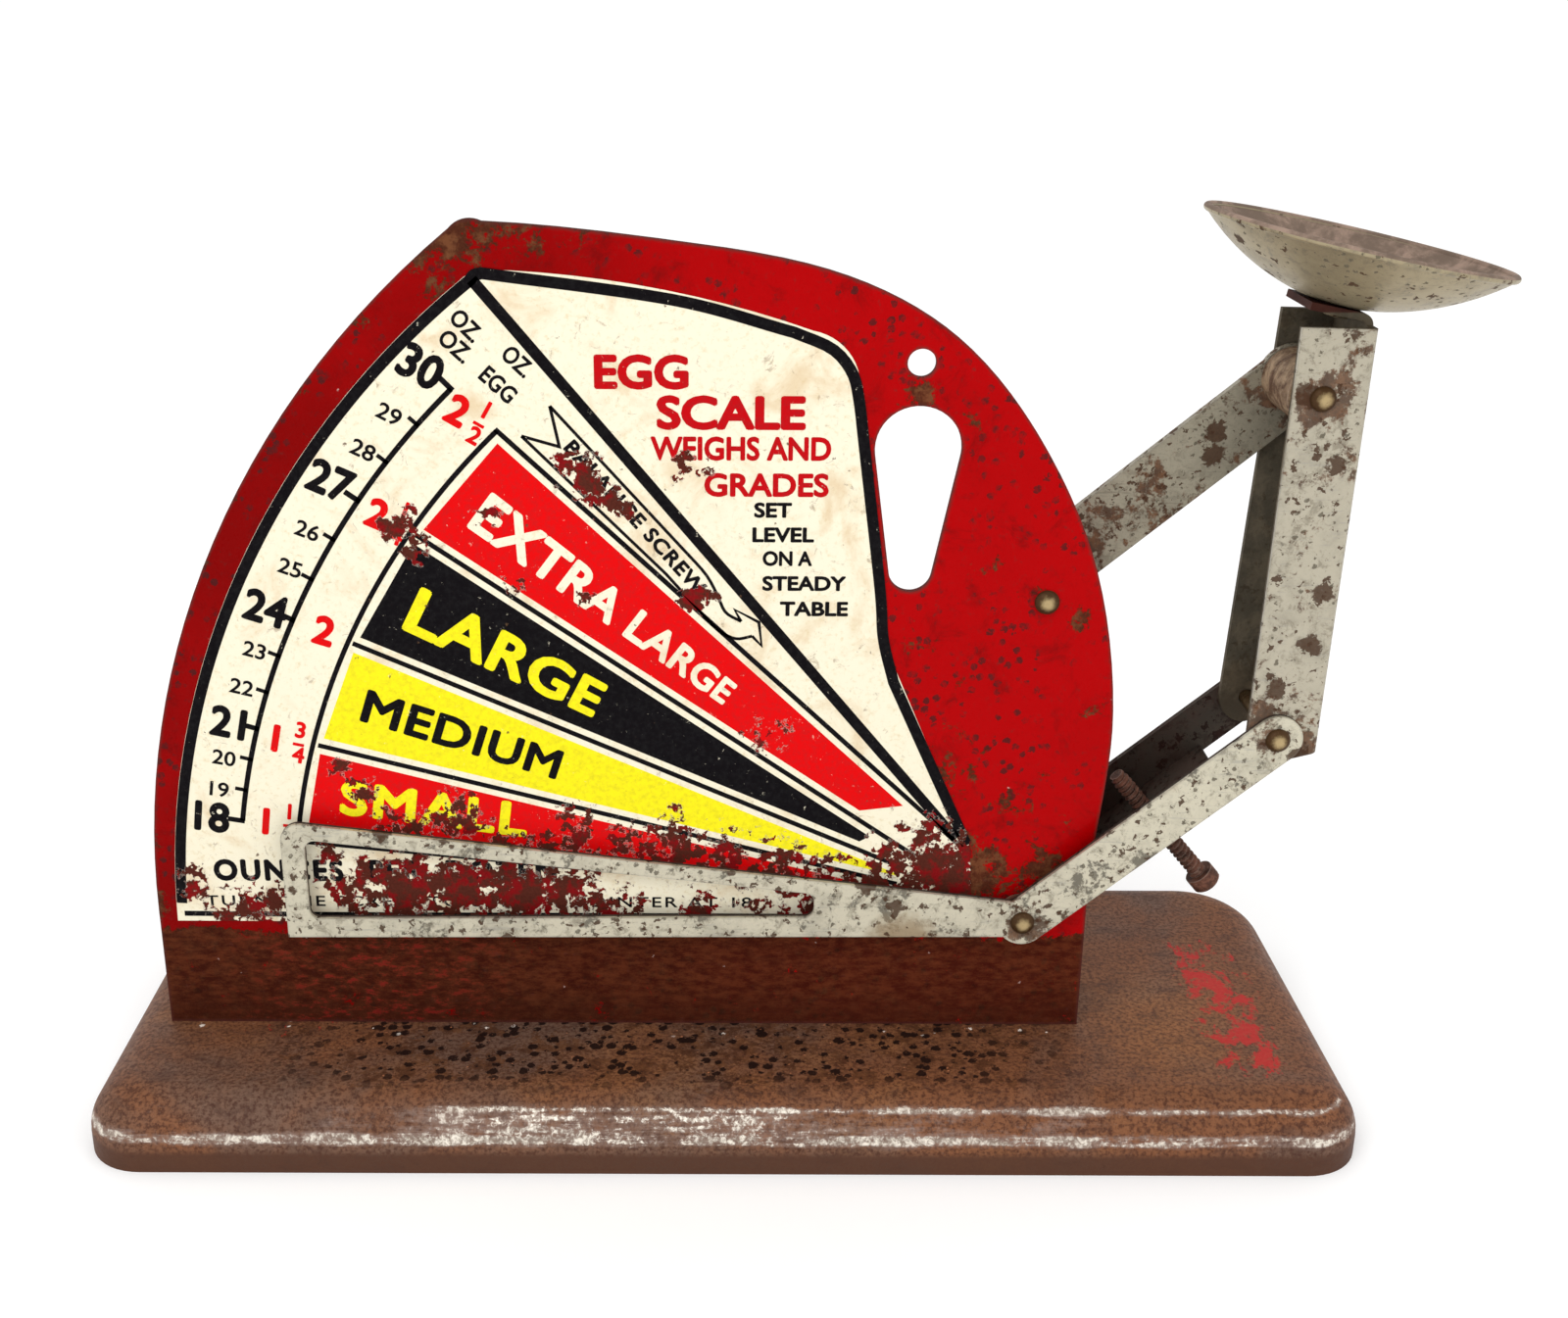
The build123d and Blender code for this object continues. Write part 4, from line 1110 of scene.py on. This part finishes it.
    def lettering(self, name: str, texts: list[Words | Figure], stand: float) -> bpy.types.Object:
        """Several texts as one printed piece.

        Args:
            name: the piece's name.
            texts: the texts.
            stand: how far they stand in front of the label.

        Returns:
            The piece.
        """
        points, faces, count = [], [], 0
        deep = stand + self.sink
        for text in texts:
            place, lift, rows = text.letters()
            depth = self.face - stand + deep / 2 - lift * deep
            points.append(np.stack([place[:, 0], depth, place[:, 1]], axis=1))
            faces.extend([[i + count for i in row] for row in rows])
            count += len(place)
        return make_piece(name, np.concatenate(points), faces)

    def tilt(self, centre: Point) -> float:
        """How far a number turns clockwise at its place on the fan."""
        return 0.62 * self.angle_of(centre) + 2.0

    def numbers(self) -> list[tuple[str, Ink, list[Figure]]]:
        """The heavy and light ounce numbers, and the red weights of one egg."""
        heavy = {
            30: (-39.3, 107.6), 27: (-52.0, 92.4), 24: (-62.0, 74.6), 21: (-68.6, 57.9), 18: (-72.2, 43.5),
        }  # fmt: skip
        light = {
            29: (-43.8, 101.3), 28: (-47.5, 96.5), 26: (-55.6, 85.5), 25: (-58.3, 80.3),
            23: (-64.1, 68.5), 22: (-66.3, 63.1), 20: (-69.7, 52.5), 19: (-70.8, 47.7),
        }  # fmt: skip
        eggs = (
            *self.weight_figures("2", "1", "2", (-33.4, 101.0)),
            *self.weight_figures("2", "1", "4", (-44.6, 87.2)),
            *self.weight_figures("2", "", "", (-54.4, 71.4)),
            *self.weight_figures("1", "3", "4", (-60.6, 55.2)),
            *self.weight_figures("1", "1", "2", (-63.0, 42.6)),
        )
        bold = [Figure(str(n), c, 4.5, self.tilt(c), 0.050, 0.95) for n, c in heavy.items()]
        thin = [Figure(str(n), c, 2.25, self.tilt(c), 0.022, 1.08) for n, c in light.items()]
        return [
            ("ounce_numbers_heavy", Ink.BLACK, bold),
            ("ounce_numbers_light", Ink.BLACK, thin),
            ("egg_weights", Ink.RED, list(eggs)),
        ]

    def weight_figures(self, whole: str, over: str, under: str, centre: Point) -> list[Figure]:
        """A whole number with a stacked fraction beside it, all turned alike."""
        turn = self.tilt(centre)
        if not over:
            return [Figure(whole, centre, 4.1, turn, 0.055)]
        parts = (
            (whole, -1.7, 0.0, 4.0, 0.055, 1.0),
            (over, 1.5, 1.9, 2.4, 0.045, 1.0),
            ("-", 1.5, 0.1, 2.6, 0.02, 1.6),
            (under, 1.7, -1.9, 2.4, 0.045, 1.0),
        )
        return [Figure(t, turned(centre, x, z, turn), h, turn, w, s) for t, x, z, h, w, s in parts]

    def grades(self) -> list[tuple[str, Ink, list[Words]]]:
        """The grades' names, tapered with their sectors."""
        rows = (
            (Ink.CREAM, "EXTRA LARGE", (-34.4, 86.3), (-0.4, 60.8), (5.9, 3.5), 0.045, 1.04),
            (Ink.YELLOW, "LARGE", (-43.9, 71.9), (-18.3, 58.9), (6.7, 5.2), 0.045, 1.04),
            (Ink.BLACK, "MEDIUM", (-50.5, 58.3), (-23.7, 49.5), (4.9, 4.4), 0.040, 1.06),
            (Ink.YELLOW, "SMALL", (-54.3, 44.1), (-28.1, 40.6), (5.2, 5.1), 0.050, 1.12),
        )
        names = ("words_extra_large", "words_large", "words_medium", "words_small")
        return [(name, ink, [Words(*row)]) for name, (ink, *row) in zip(names, rows)]

    def plain_words(self) -> list[tuple[str, Ink, list[Words]]]:
        """The headings, the panel's title and note, the strip's words and the two lines at the foot."""

        def level(text: str, x: float, z: float, end: float, cap: float, *stroke: float) -> Words:
            """A text that runs level from x to end at a height z, with one cap height."""
            return Words(text, (x, z), (end, z), (cap, cap), *stroke)

        headings = [
            Words("OZ.", (-35.6, 113.6), (-32.6, 110.5), (2.3, 2.3), 0.035),
            Words("OZ.   EGG", (-37.2, 110.9), (-28.4, 102.6), (2.3, 2.3), 0.035),
            Words("OZ.", (-29.2, 108.9), (-26.2, 106.0), (2.3, 2.3), 0.035),
        ]
        title = [
            level("EGG", -17.2, 104.9, -5.0, 4.3, 0.055),
            level("SCALE", -9.2, 99.6, 10.2, 4.3, 0.055),
            level("WEIGHS AND", -10.0, 95.4, 13.6, 3.1, 0.045),
            level("GRADES", -3.0, 90.5, 13.4, 3.1, 0.045),
        ]
        note = [
            level("SET", 3.6, 87.6, 8.6, 2.0, 0.05),
            level("LEVEL", 3.4, 84.2, 11.6, 2.0, 0.05),
            level("ON A", 4.8, 80.9, 11.4, 2.0, 0.05),
            level("STEADY", 4.8, 77.4, 16.0, 2.0, 0.05),
            level("TABLE", 7.2, 73.8, 16.4, 2.0, 0.05),
        ]
        strip = Words("BALANCE SCREW", (-21.4, 96.8), (-4.0, 76.6), (2.0, 2.0), 0.05, 1.1)
        foot = level("OUNCES  PER  DOZEN", -72.8, 33.5, -24.0, 3.2, 0.065, 1.2)
        small = level("TURN THE SCREW TO SET THE POINTER AT 18", -74.4, 29.3, 3.8, 1.7, 0.015, 1.2)
        return [
            ("scale_headings", Ink.BLACK, headings),
            ("panel_title", Ink.DARK_RED, title),
            ("panel_note", Ink.BLACK, note),
            ("arrow_words", Ink.BLACK, [strip]),
            ("foot_title", Ink.BLACK, [foot]),
            ("foot_note", Ink.BLACK, [small]),
        ]

    def build(self, inks: dict[Ink, bpy.types.Material]) -> None:
        """Builds and dresses every printed piece in its ink's material."""
        made = [
            (self.border(), Ink.BLACK),
            (self.scale(), Ink.BLACK),
            (self.sector_outline(), Ink.BLACK),
            (self.sector_fill(0, "fill_extra_large"), Ink.RED),
            (self.sector_fill(1, "fill_large"), Ink.BLACK),
            (self.sector_fill(2, "fill_medium"), Ink.YELLOW),
            (self.sector_fill(3, "fill_small"), Ink.RED),
            (self.strip_arrow(), Ink.BLACK),
        ]
        for texts, stand in (
            (self.numbers(), self.line_stand),
            (self.grades(), self.grade_stand),
            (self.plain_words(), self.line_stand),
        ):
            made += [(self.lettering(name, rows, stand), ink) for name, ink, rows in texts]
        for piece, ink in made:
            finish_piece(piece, inks[ink], Body.FRAME)


@dataclass
class Rivets:
    """The linkage's pins, as turned shanks along Y with a domed, slightly peened head at each end."""

    dome: float = 1.05
    peen: float = 0.12
    rim: float = 0.7
    shank: float = 0.64
    steps: int = 9
    sides: int = 40

    def profile(self, radius: float, half: float) -> np.ndarray:
        """The radius and the length from the middle, from one pole to the other.

        A head is a quarter of an ellipse from its crown to its rim, less a bell-shaped dimple.

        Args:
            radius: the heads' radius.
            half: how far the heads' rims are from the middle.

        Returns:
            The profile, N by 2.
        """
        turn = np.linspace(0, math.pi / 2, self.steps)
        r = radius * np.sin(turn)
        h = half + self.dome * np.cos(turn) - self.peen * np.exp(-((r / (0.30 * radius)) ** 2))
        head = np.stack([r, h], axis=1)
        narrow = radius * self.shank
        return np.vstack([head * (1, -1), [(narrow, -half), (narrow, half)], head[::-1]])

    def pin(self, node: str, name: str, material: bpy.types.Material, body: Body) -> None:
        """Replaces one packed pin by a turned one, a surface of revolution about its axis.

        Each point also gets the attribute crown, 1 on the axis and 0 at the head's rim.

        Args:
            node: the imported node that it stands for.
            name: the piece's name.
            material: its finish.
            body: what it rides on.
        """
        low, high = node_box(node)
        centre = (low + high) / 2
        radius = (high[0] - low[0]) / 2
        profile = self.profile(radius, (high[1] - low[1]) / 2 - self.rim)
        angle = np.linspace(0, 2 * math.pi, self.sides, endpoint=False)
        spoke = np.stack([np.cos(angle), np.zeros(self.sides), -np.sin(angle)], axis=1)
        along = centre + profile[:, 1:] * np.array([0.0, 1.0, 0.0])
        rings = along[1:-1, None] + spoke * profile[1:-1, :1, None]
        points = np.concatenate([rings.reshape(-1, 3), along[[0, -1]]])
        piece = make_piece(name, points, tube_faces(len(rings), self.sides), crease=40)
        at = vertices(piece.data) / MM
        away = np.hypot(at[:, 0] - centre[0], at[:, 2] - centre[2])
        crown = piece.data.attributes.new("crown", "FLOAT", "POINT")
        crown.data.foreach_set("value", np.clip(1 - away / radius, 0, 1).astype(np.float32))
        finish_piece(piece, material, body)
        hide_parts(node)

    def build(self, brass: bpy.types.Material) -> None:
        """Builds the four pins of the linkage."""
        self.pin("lever_pivot_pin", "lever_pivot_rivet", brass, Body.FRAME)
        self.pin("link_pivot_pin", "link_pivot_rivet", brass, Body.FRAME)
        self.pin("post_foot_pin", "post_foot_rivet", brass, Body.LEVER)
        self.pin("post_head_pin", "post_head_rivet", brass, Body.POST)


@dataclass
class BalanceScrew:
    """The threaded screw under the lever, with a slotted cheese head.

    The shank's radius is the root radius plus a ridge whose height is a triangle wave of the turn
    angle and the length over the pitch, so the ridge winds up the shank as a real thread does.
    """

    radius: float = 1.30
    root: float = 0.98
    pitch: float = 0.85
    head_radius: float = 2.15
    head_height: float = 2.6
    slot_width: float = 0.62
    slot_depth: float = 0.9
    around: int = 28
    rows_per_pitch: int = 10

    def __post_init__(self) -> None:
        """Works out the screw's axis and ends from its slide joint and its node's box."""
        joint = next(j for j in frame["joints"] if j["name"] == "balance_screw_slide")
        self.axis = np.array(joint["axis"], float)
        self.across = np.array([0.0, 1.0, 0.0])
        self.side = np.cross(self.axis, self.across)
        low, high = node_box("balance_screw")
        self.middle = (low + high) / 2
        reach = (high - low) / 2
        self.half = float((reach[2] - self.head_radius * abs(self.side[2])) / abs(self.axis[2]))

    def place(self, u: np.ndarray, v: np.ndarray, h: np.ndarray) -> np.ndarray:
        """Points at u across and v aside of the axis, h along it from the screw's middle, as rows."""
        points = u[..., None] * self.across + v[..., None] * self.side + h[..., None] * self.axis
        return (self.middle + points).reshape(-1, 3)

    def shank(self) -> tuple[np.ndarray, list[list[int]]]:
        """The threaded shank as a closed grid of turn angle and length, its ends drawn in to the axis."""
        start, end = -self.half, self.half - self.head_height + 0.3
        count = int((end - start) / self.pitch * self.rows_per_pitch)
        angle = np.linspace(0, 2 * math.pi, self.around, endpoint=False)
        a, h = np.meshgrid(angle, np.linspace(start, end, count))
        phase = (h / self.pitch - a / (2 * math.pi)) % 1.0
        ridge = 1 - np.abs(2 * phase - 1)
        lead = np.clip((h - start) / 1.2, 0.25, 1.0)
        r = (self.root + (self.radius - self.root) * np.clip(ridge * 1.25, 0, 1)) * (0.82 + 0.18 * lead)
        grid = self.place(r * np.cos(a), r * np.sin(a), h)
        ends = self.place(np.zeros(2), np.zeros(2), np.array([start, end]))
        return np.concatenate([grid, ends]), tube_faces(count, self.around)

    def head(self) -> tuple[np.ndarray, np.ndarray]:
        """The slotted head: a disc of chords, whose top drops to the slot's floor between two of them.

        A grid point is at u across the slot and t times the half chord along it.  The top's height falls
        off as a rounded edge near the rim, and the floor's height is the slot's.

        Returns:
            The points and the faces.
        """
        edge = self.slot_width / 2
        outer = self.head_radius * np.sin(np.linspace(0.19, math.pi / 2 * 0.985, 9))
        u = np.concatenate([-outer[::-1], [-edge, -edge, edge, edge], outer])
        uu, tt = np.meshgrid(u, np.sin(np.linspace(-math.pi / 2, math.pi / 2, 19)), indexing="ij")
        vv = tt * np.sqrt(np.maximum(self.head_radius**2 - uu**2, 0.0))
        away = np.hypot(uu, vv) / self.head_radius
        top = self.half - 0.5 * np.clip(away - 0.62, 0, 1) ** 2 / 0.38**2
        floor = slice(len(outer) + 1, len(outer) + 3)
        top[floor] = np.minimum(top[floor], self.half - self.slot_depth)
        under = np.full_like(top, self.half - self.head_height)
        points = [self.place(uu, vv, top), self.place(uu, vv, under)]
        rows, cols = uu.shape
        number = np.arange(rows * cols).reshape(rows, cols)
        corners = [number[:-1, :-1], number[:-1, 1:], number[1:, 1:], number[1:, :-1]]
        cell = np.stack(corners, axis=-1).reshape(-1, 4)
        rim = np.concatenate([number[:, 0], number[-1, 1:], number[-2::-1, -1], number[0, -2:0:-1]])
        total = rows * cols
        wall = np.stack([rim, np.roll(rim, -1), np.roll(rim, -1) + total, rim + total], axis=1)
        return np.concatenate(points), np.concatenate([cell, cell[:, ::-1] + total, wall])

    def build(self, steel: bpy.types.Material) -> None:
        """Builds the screw and hides the plain one."""
        shank, shank_faces = self.shank()
        head, head_faces = self.head()
        faces = shank_faces + (head_faces + len(shank)).tolist()
        piece = make_piece("balance_screw_threaded", np.concatenate([shank, head]), faces, crease=35)
        finish_piece(piece, steel, Body.SCREW)
        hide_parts("balance_screw")


class SheetMetal:
    """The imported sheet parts, which keep their shapes and get their finishes."""

    def dress(self, node: str, material: bpy.types.Material) -> None:
        """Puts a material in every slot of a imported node."""
        piece = frame["nodes"][node]
        if not piece.material_slots:
            piece.data.materials.append(material)
        for slot in piece.material_slots:
            slot.material = material
        LOG.info("%s: dressed in %s", node, material.name)

    def tins(self) -> tuple[TinFinish, ...]:
        """The tin of the lever, the post, the link and the pan, stained round their pivots."""
        pivots = {j["name"]: in_millimetres(j["pos_m"]) for j in frame["joints"] if "pos_m" in j}
        lever, link, foot = pivots["lever_pivot"], pivots["link_pivot"], pivots["post_foot_pivot"]
        head = link + foot - lever

        def ring(place: np.ndarray, radius: float, strength: float) -> Spot:
            """A stain round a pivot."""
            return Spot(float(place[0]), float(place[2]), radius, strength)

        return (
            TinFinish(
                "lever_tin",
                bright=(0.58, 0.54, 0.42),
                inner=(0.012, 0.004, 0.003),
                front_y=float(node_box("pointer_lever")[0][1]) + 0.35,
                grey_cover=0.31,
                rust_cover=0.08,
                blotches=0.46,
                rings=(ring(lever, 5.0, 0.9), ring(foot, 4.2, 0.9)),
            ),
            TinFinish(
                "post_tin",
                bright=(0.45, 0.41, 0.32),
                # the post's inner colour is painted shade on its faces behind the front strip
                inner=(0.050, 0.040, 0.026),
                front_y=float(node_box("pan_post")[0][1]) + 0.35,
                grey_cover=0.20,
                rust_cover=0.29,
                crown_z=float(head[2]) + 10.5,
                blotches=0.42,
                rings=(ring(head, 3.6, 0.9), ring(foot, 5.0, 0.8)),
            ),
            TinFinish(
                "link_tin",
                bright=(0.31, 0.28, 0.21),
                shade=(0.13, 0.112, 0.080),
                grey_cover=0.16,
                rust_cover=0.37,
                blotches=0.60,
                metal=0.35,
            ),
            TinFinish(
                "pan_tin",
                bright=(0.36, 0.30, 0.19),
                shade=(0.19, 0.150, 0.092),
                inner=(0.150, 0.105, 0.082),
                grey_cover=0.08,
                rust_cover=0.04,
                patch_scale=0.12,
                blotches=0.16,
                metal=0.50,
                dull_above=True,
            ),
        )

    def build(self, label: bpy.types.Material) -> None:
        """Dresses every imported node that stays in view; label is the cream ink's material."""
        lever, post, link, pan = (tin.make() for tin in self.tins())
        weights = RustyFinish("weight_steel", dark=(0.055, 0.040, 0.034), light=(0.13, 0.085, 0.062))
        tube = RustyFinish("tube_steel", dark=(0.075, 0.036, 0.020), light=(0.34, 0.24, 0.15))
        feet = ("dial_foot_rivets", "bracket_foot_rivets", "counterweight_rivets")
        spacers = ("lever_front_washer", "link_rear_washer", "post_head_washer")
        pivots = ("lever_pivot_tube", "link_pivot_tube")
        for material, nodes in (
            (TrayFinish().make(), ("base_tray",)),
            (EnamelFinish().make(), ("dial_plate",)),
            (label, ("dial_label",)),
            (lever, ("pointer_lever",)),
            (post, ("pan_post",)),
            (link, ("upper_link", "rear_bracket")),
            (pan, ("egg_pan", "pan_rivet")),
            (weights.make(), ("counterweight_front", "counterweight_rear")),
            (tube.make(), ("post_head_tube",)),
            (RustyFinish("rusty_steel").make(), feet + spacers + pivots),
        ):
            for node in nodes:
                self.dress(node, material)


@dataclass
class Studio:
    """The plain pale floor, the soft lights and the camera."""

    camera_place: Colour = (-0.3356, -241.773, 155.170)
    pitch: float = 20.3427
    yaw: float = 0.1715
    roll: float = 0.3083
    lens: float = 41.413
    sensor: float = 36.0
    shift: Point = (0.03518, -0.01158)
    clip: Point = (0.01, 50.0)
    aim: Colour = (0.0, 0.0, 55.0)
    floor_glow: float = 0.14
    surround: float = 0.95

    def floor(self) -> None:
        """A pale sweep: level to the back, then up a quarter circle and on as a wall.

        A point is (x, d, 0) up to where the bend starts, then turns through the bend's radius.
        """
        half, start, bend, top = 4000.0, 1500.0, 900.0, 3000.0
        turn = np.linspace(0, math.pi / 2, 17)
        depth = np.concatenate([[-half, -600.0, 600.0], start + bend * np.sin(turn), [start + bend]])
        rise = np.concatenate([[0.0, 0.0, 0.0], bend * (1 - np.cos(turn)), [top]])
        n = len(depth)
        points = np.stack([np.repeat([-half, half], n), np.tile(depth, 2), np.tile(rise, 2)], axis=1)
        at = np.arange(n - 1)
        faces = np.stack([at, at + n, at + n + 1, at + 1], axis=1)
        piece = make_piece("studio_sweep", points, faces, crease=38, closed=False)
        paper = Surface("sweep_paper")
        tone = paper.place.noise(0.004, 2.0).mix((0.90, 0.90, 0.895), (0.92, 0.92, 0.92))
        paper.set(Base_Color=tone, Roughness=0.9, Specular_IOR_Level=0.0)
        paper.set(Emission_Color=(1.0, 1.0, 1.0), Emission_Strength=self.floor_glow)
        piece.data.materials.append(paper.material)

    def light(self, name: str, place: Colour, size: float, power: float) -> None:
        """An area light in millimetres that faces the dial."""
        data = bpy.data.lights.new(name, "AREA")
        data.size = size * MM
        data.energy = power
        lamp = bpy.data.objects.new(name, data)
        lamp.location = Vector(place) * MM
        aim = Vector(self.aim) * MM - lamp.location
        lamp.rotation_euler = aim.to_track_quat("-Z", "Y").to_euler()
        bpy.context.scene.collection.objects.link(lamp)

    def sky(self) -> None:
        """An even white surround."""
        world = bpy.data.worlds.new("studio_white")
        world.use_nodes = True
        ground = world.node_tree.nodes["Background"]
        ground.inputs["Color"].default_value = (1.0, 1.0, 1.0, 1.0)
        ground.inputs["Strength"].default_value = self.surround
        bpy.context.scene.world = world

    def camera(self) -> None:
        """The camera, from its pitch, yaw and roll in degrees."""
        a, b, r = (math.radians(v) for v in (self.pitch, self.yaw, self.roll))
        forward = Vector((math.sin(b) * math.cos(a), math.cos(b) * math.cos(a), -math.sin(a)))
        right = Vector((math.cos(b), -math.sin(b), 0.0))
        up = right.cross(forward)
        turned_right = right * math.cos(r) + up * math.sin(r)
        turned_up = up * math.cos(r) - right * math.sin(r)
        data = bpy.data.cameras.new("camera")
        data.lens, data.sensor_width, data.sensor_fit = self.lens, self.sensor, "HORIZONTAL"
        data.shift_x, data.shift_y = self.shift
        data.clip_start, data.clip_end = self.clip
        camera = bpy.data.objects.new("camera", data)
        turn = Matrix((turned_right, turned_up, -forward)).transposed()
        camera.matrix_world = Matrix.Translation(Vector(self.camera_place) * MM) @ turn.to_4x4()
        bpy.context.scene.collection.objects.link(camera)
        bpy.context.scene.camera = camera

    def build(self) -> None:
        """Sets up the floor, surround, lights and camera."""
        self.floor()
        self.sky()
        self.light("key_light", (-260.0, -420.0, 520.0), 320.0, 1.1)
        self.light("fill_light", (420.0, -300.0, 300.0), 360.0, 0.35)
        self.camera()
        bpy.context.scene.view_settings.view_transform = "Standard"


def main() -> None:
    """Builds the stage, the finishes and every sub-assembly in order."""
    logging.basicConfig(level=logging.INFO, format="%(name)s: %(message)s")
    Studio().build()
    inks = {ink: PrintFinish(ink).make() for ink in Ink}
    SheetMetal().build(inks[Ink.CREAM])
    DialPrint().build(inks)
    Rivets().build(BrassFinish().make())
    BalanceScrew().build(RustyFinish("screw_steel", light=(0.20, 0.085, 0.055)).make())


if __name__ == "__main__":
    main()
